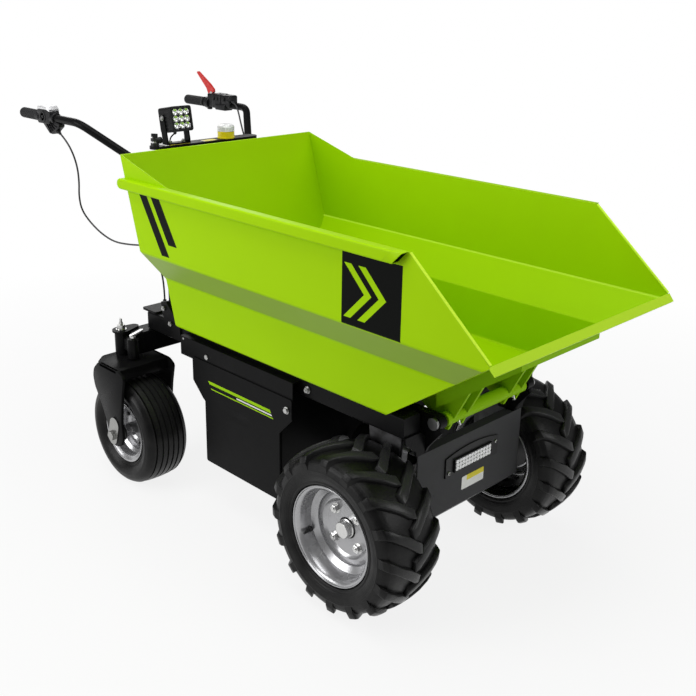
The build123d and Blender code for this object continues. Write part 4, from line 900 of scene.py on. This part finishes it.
cap_shape = (
    (-769, 988), (-762, 1000), (-740, 1002.5), (-716, 1002), (-702, 990), (-716, 993.5), (-760, 992.5),
)
plate(throttle_cap, cap_shape, seen_from_right(-274.5), 35, 1.2)
cap_silver = wear(Look("cap_silver", (0.72, 0.72, 0.73), 0.28, metallic=0.5), 60, 500, 0.00004)
set_piece("throttle_cap", throttle_cap, "chassis", cap_silver)

# -------------------------------- switch housing and brake lever
# On the left tube: a clamp, the lever's perch, a switch block with a lower half, three round
# buttons and three screws, and the red moulded brake lever on its pivot pin.
clamp_line = ((-770, 11.1), (-770, 17), (-768, 18.5), (-752, 18.5), (-750, 17), (-750, 11.1))
switches = bmesh.new()
turned(switches, clamp_line, facing((0, tube_y, tube_z), (1, 0, 0)), 36, closed=True)
for low, high, ease in (
    ((-764, 286, 948), (-750, 298, 962), 2),
    ((-756, 281, 958), (-722, 303, 1000), 4),
    ((-724, 273, 957), (-676, 311, 1003), 5),
    ((-680, 275, 962), (-631, 309, 1002), 6),
    ((-704, 271, 953), (-652, 305, 973), 4),
):
    block(switches, low, high, ease)
outlet_line = ((-640, 0), (-640, 8), (-630, 8), (-628, 6), (-626, 3.4), (-626, 0))
turned(switches, outlet_line, facing((0, 278, 984), (1, 0, 0)), 20)
piece = set_piece("switch_housing", switches, "chassis", controls_plastic)
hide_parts("control_box")
buttons = bmesh.new()
for x, radius in ((-712, 7), (-694, 6), (-660, 6)):
    button_line = ((-1, 0), (-1, radius), (1.5, radius), (1.5, radius - 1.5), (3, radius - 2), (3.6, 0))
    turned(buttons, button_line, facing((x, 272.8, 988), (0, -1, 0)), 24)
for x in (-735, -700, -664):
    screw_spot = facing((x, tube_y, 1002.2), (0, 0, 1))
    turned(buttons, ((-1, 0), (-1, 3.2), (1, 3.2), (2, 2), (2, 0)), screw_spot, 14)
set_piece("switch_buttons", buttons, "chassis", moulding)
red_moulding = Look("red_plastic", (0.55, 0.025, 0.022), 0.33, specular_ior_level=0.4)
scuffs = red_moulding.ramp(red_moulding.noise(120, 5), (0.56, 0), (0.72, 1))
clean_red = red_moulding.shades(red_moulding.noise(30, 3), 0.85, 1.15)
red_moulding.feed("Base Color", red_moulding.mix(clean_red, (0.7, 0.2, 0.18, 1), scuffs * 0.45))
red_moulding.spread("Roughness", scuffs, 0.3, 0.5)
red_moulding.bump(red_moulding.noise(500, 2), 0.00008)
dress(red_moulding.material, "brake_lever")
lever_pin = bmesh.new()
hex_nut(lever_pin, facing((-742, 287.9, 1001), (0, -1, 0)), 8, 4)
hex_nut(lever_pin, facing((-742, 296.1, 1001), (0, 1, 0)), 8, 4)
set_piece("lever_pin", lever_pin, "chassis", zinc_plate)

# -------------------------------- console
# Folded black box between the uprights with a bar across its top; plain yellow and white
# plates are stuck on the bar, and a key switch stands at its right end with a flat knob.
console_coat = black_coat("console_coat", 0.36, 0.009, 12).material
dress(console_coat, "console")
console_plates = bmesh.new()
bar_top = seen_from((-394, 0, 917), (0, 1, 0), (0, 0, 1))
plate(console_plates, ((-146, -17), (-132, -17), (-132, 14), (-146, 14)), bar_top, 0.5, 0, 2)
plate(console_plates, ((-14, -17), (30, -17), (30, 4), (-14, 4)), bar_top, 0.5, 0, 2)
set_piece("console_plates", console_plates, "chassis", vinyl.material)
yellow_vinyl = wear(Look("yellow_vinyl", (0.75, 0.62, 0.06), 0.4, specular_ior_level=0.3), 60, 500, 0.00002)
yellow_plate = bmesh.new()
plate(yellow_plate, ((-130, -17), (-62, -17), (-62, -4), (-130, -4)), bar_top, 0.5, 0, 2)
set_piece("console_yellow_plate", yellow_plate, "chassis", yellow_vinyl)
key_black = Look("key_switch_finish", (0.012, 0.012, 0.012), 0.4, specular_ior_level=0.3)
x, y, z = key_black.axes()
collar = within(z, 0.9262, 0.9305)
black = key_black.shades(key_black.noise(90, 3), 0.8, 1.3)
key_black.feed("Base Color", key_black.mix(black, (0.5, 0.5, 0.5, 1), collar))
key_black.feed("Metallic", collar)
key_black.bump(key_black.noise(600, 2), 0.0001)
dress(key_black.material, "key_switch")
key_knob = bmesh.new()
turned_key = seen_from((-394, -168, 941.6), (0.8, 0.6, 0), (0, 0, 1))
plate(key_knob, ((-9, -2), (9, -2), (9, 2), (-9, 2)), turned_key, 9, 1, 1.2)
barrel = facing((-394, -168, 931), (0.5, 0.6, 0.1)) @ Matrix.Translation((0, 0, 0.004))
turned(key_knob, ((0, 0), (0, 9), (14, 9), (16, 7), (16, 0)), barrel, 24)
set_piece("key_knob", key_knob, "chassis", controls_plastic)

# -------------------------------- work lamp
# Die-cast black lamp with nine bright reflectors behind its frame, cooling ribs along its
# sides, four face screws, and bolts through the arms and feet of its bracket.
lamp_metal = wear(Look("lamp_metal", (0.007, 0.007, 0.0075), 0.34, specular_ior_level=0.2), 40, 700, 0.00012)
dress(lamp_metal, "work_lamp")
lamp_lean, lamp_y, lamp_z = radians(10), -97, 988
lamp_face = seen_from((-365, lamp_y, lamp_z), (0, 1, 0), (cos(lamp_lean), 0, sin(lamp_lean)))
cup_line = (
    (-8.85, 0), (-8.85, 7.7), (-2.6, 8.7), (-2.6, 8.1), (-7.2, 3.4), (-5.2, 2.8), (-4.6, 1.4), (-4.5, 0),
)
reflectors = bmesh.new()
for column in (-18, 0, 18):
    for row in (-18, 0, 18):
        cup = lamp_face @ Matrix.Translation((column / 1000, row / 1000, 0))
        turned(reflectors, cup_line, cup, 20)
reflector_chrome = wear(Look("reflector_chrome", (0.85, 0.85, 0.86), 0.13, metallic=0.8), 200, 900, 0.00001)
set_piece("lamp_reflectors", reflectors, "chassis", reflector_chrome, 50)
lamp_trim = bmesh.new()
for across in (-1, 1):
    for rise in (-30, -20, -10, 0, 10, 20, 30):
        rib = lamp_face @ Matrix.Translation((across * 0.034, (rise - 0.7) / 1000, -0.052))
        plate(lamp_trim, ((-1.6, 0), (1.6, 0), (1.6, 1.4), (-1.6, 1.4)), rib, 44, 0.5)
for across in (-29.5, 29.5):
    for rise in (-29.5, 29.5):
        corner = lamp_face @ Matrix.Translation((across / 1000, rise / 1000, 0))
        turned(lamp_trim, ((-0.5, 0), (-0.5, 3), (0.8, 3), (1.4, 1.8), (1.4, 0)), corner, 12)
set_piece("lamp_ribs", lamp_trim, "chassis", lamp_metal)
lamp_bolts = bmesh.new()
for hand in (-1, 1):
    hex_nut(lamp_bolts, facing((-401, lamp_y + hand * 38.4, lamp_z), (0, hand, 0)), 10, 5)
    hex_nut(lamp_bolts, facing((-394, lamp_y + hand * 22, 921.3), (0, 0, 1)), 10, 5, 3)
set_piece("lamp_bolts", lamp_bolts, "chassis", zinc_plate)

# -------------------------------- beacon
# Marker light that stands on the console's bar: a yellow moulded body under a clear lens
# with ribs round it.
beacon_yellow = wear(
    Look("beacon_yellow", (0.78, 0.66, 0.01), 0.25, specular_ior_level=0.4), 60, 600, 0.00003)
clear_lens = Look("clear_lens", (0.9, 0.92, 0.9), 0.12, specular_ior_level=0.5, transmission_weight=0.3)
clear_lens.bump(clear_lens.noise(60, 2), 0.0002)
clear_lens.feed("Base Color", clear_lens.shades(clear_lens.noise(50, 2), 0.9, 1.1))
beacon_spot = facing((-394, 74, 917.3), (0, 0, 1))
body = bmesh.new()
turned(body, ((0, 0), (0, 25), (3, 25), (3.4, 24), (18, 24), (19.5, 22.5), (19.5, 0)), beacon_spot, 48)
piece = set_piece("beacon_body", body, "chassis", beacon_yellow)
lens = bmesh.new()
lens_line = [(19.7, 0), (19.7, 24.2)]
for ring in range(4):
    lens_line += [(21 + ring * 3.4, 24.3), (22.8 + ring * 3.4, 23.4)]
lens_line += [(35.4, 21.5), (37.6, 17), (38, 8), (38, 0)]
turned(lens, lens_line, beacon_spot, 48)
set_piece("beacon_lens", lens, "chassis", clear_lens.material, 25)
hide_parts("beacon")

# -------------------------------- stops and plunger handles
# Black rubber stops that the skip rests on, and bright plated pull levers on the locks that
# hold the casters straight.
stop_rubber = wear(Look("stop_rubber", (0.012, 0.012, 0.012), 0.6, specular_ior_level=0.25), 40, 400, 0.0002)
dress(stop_rubber, "tub_buffers")
dress(bright_metal, "plunger_handles")
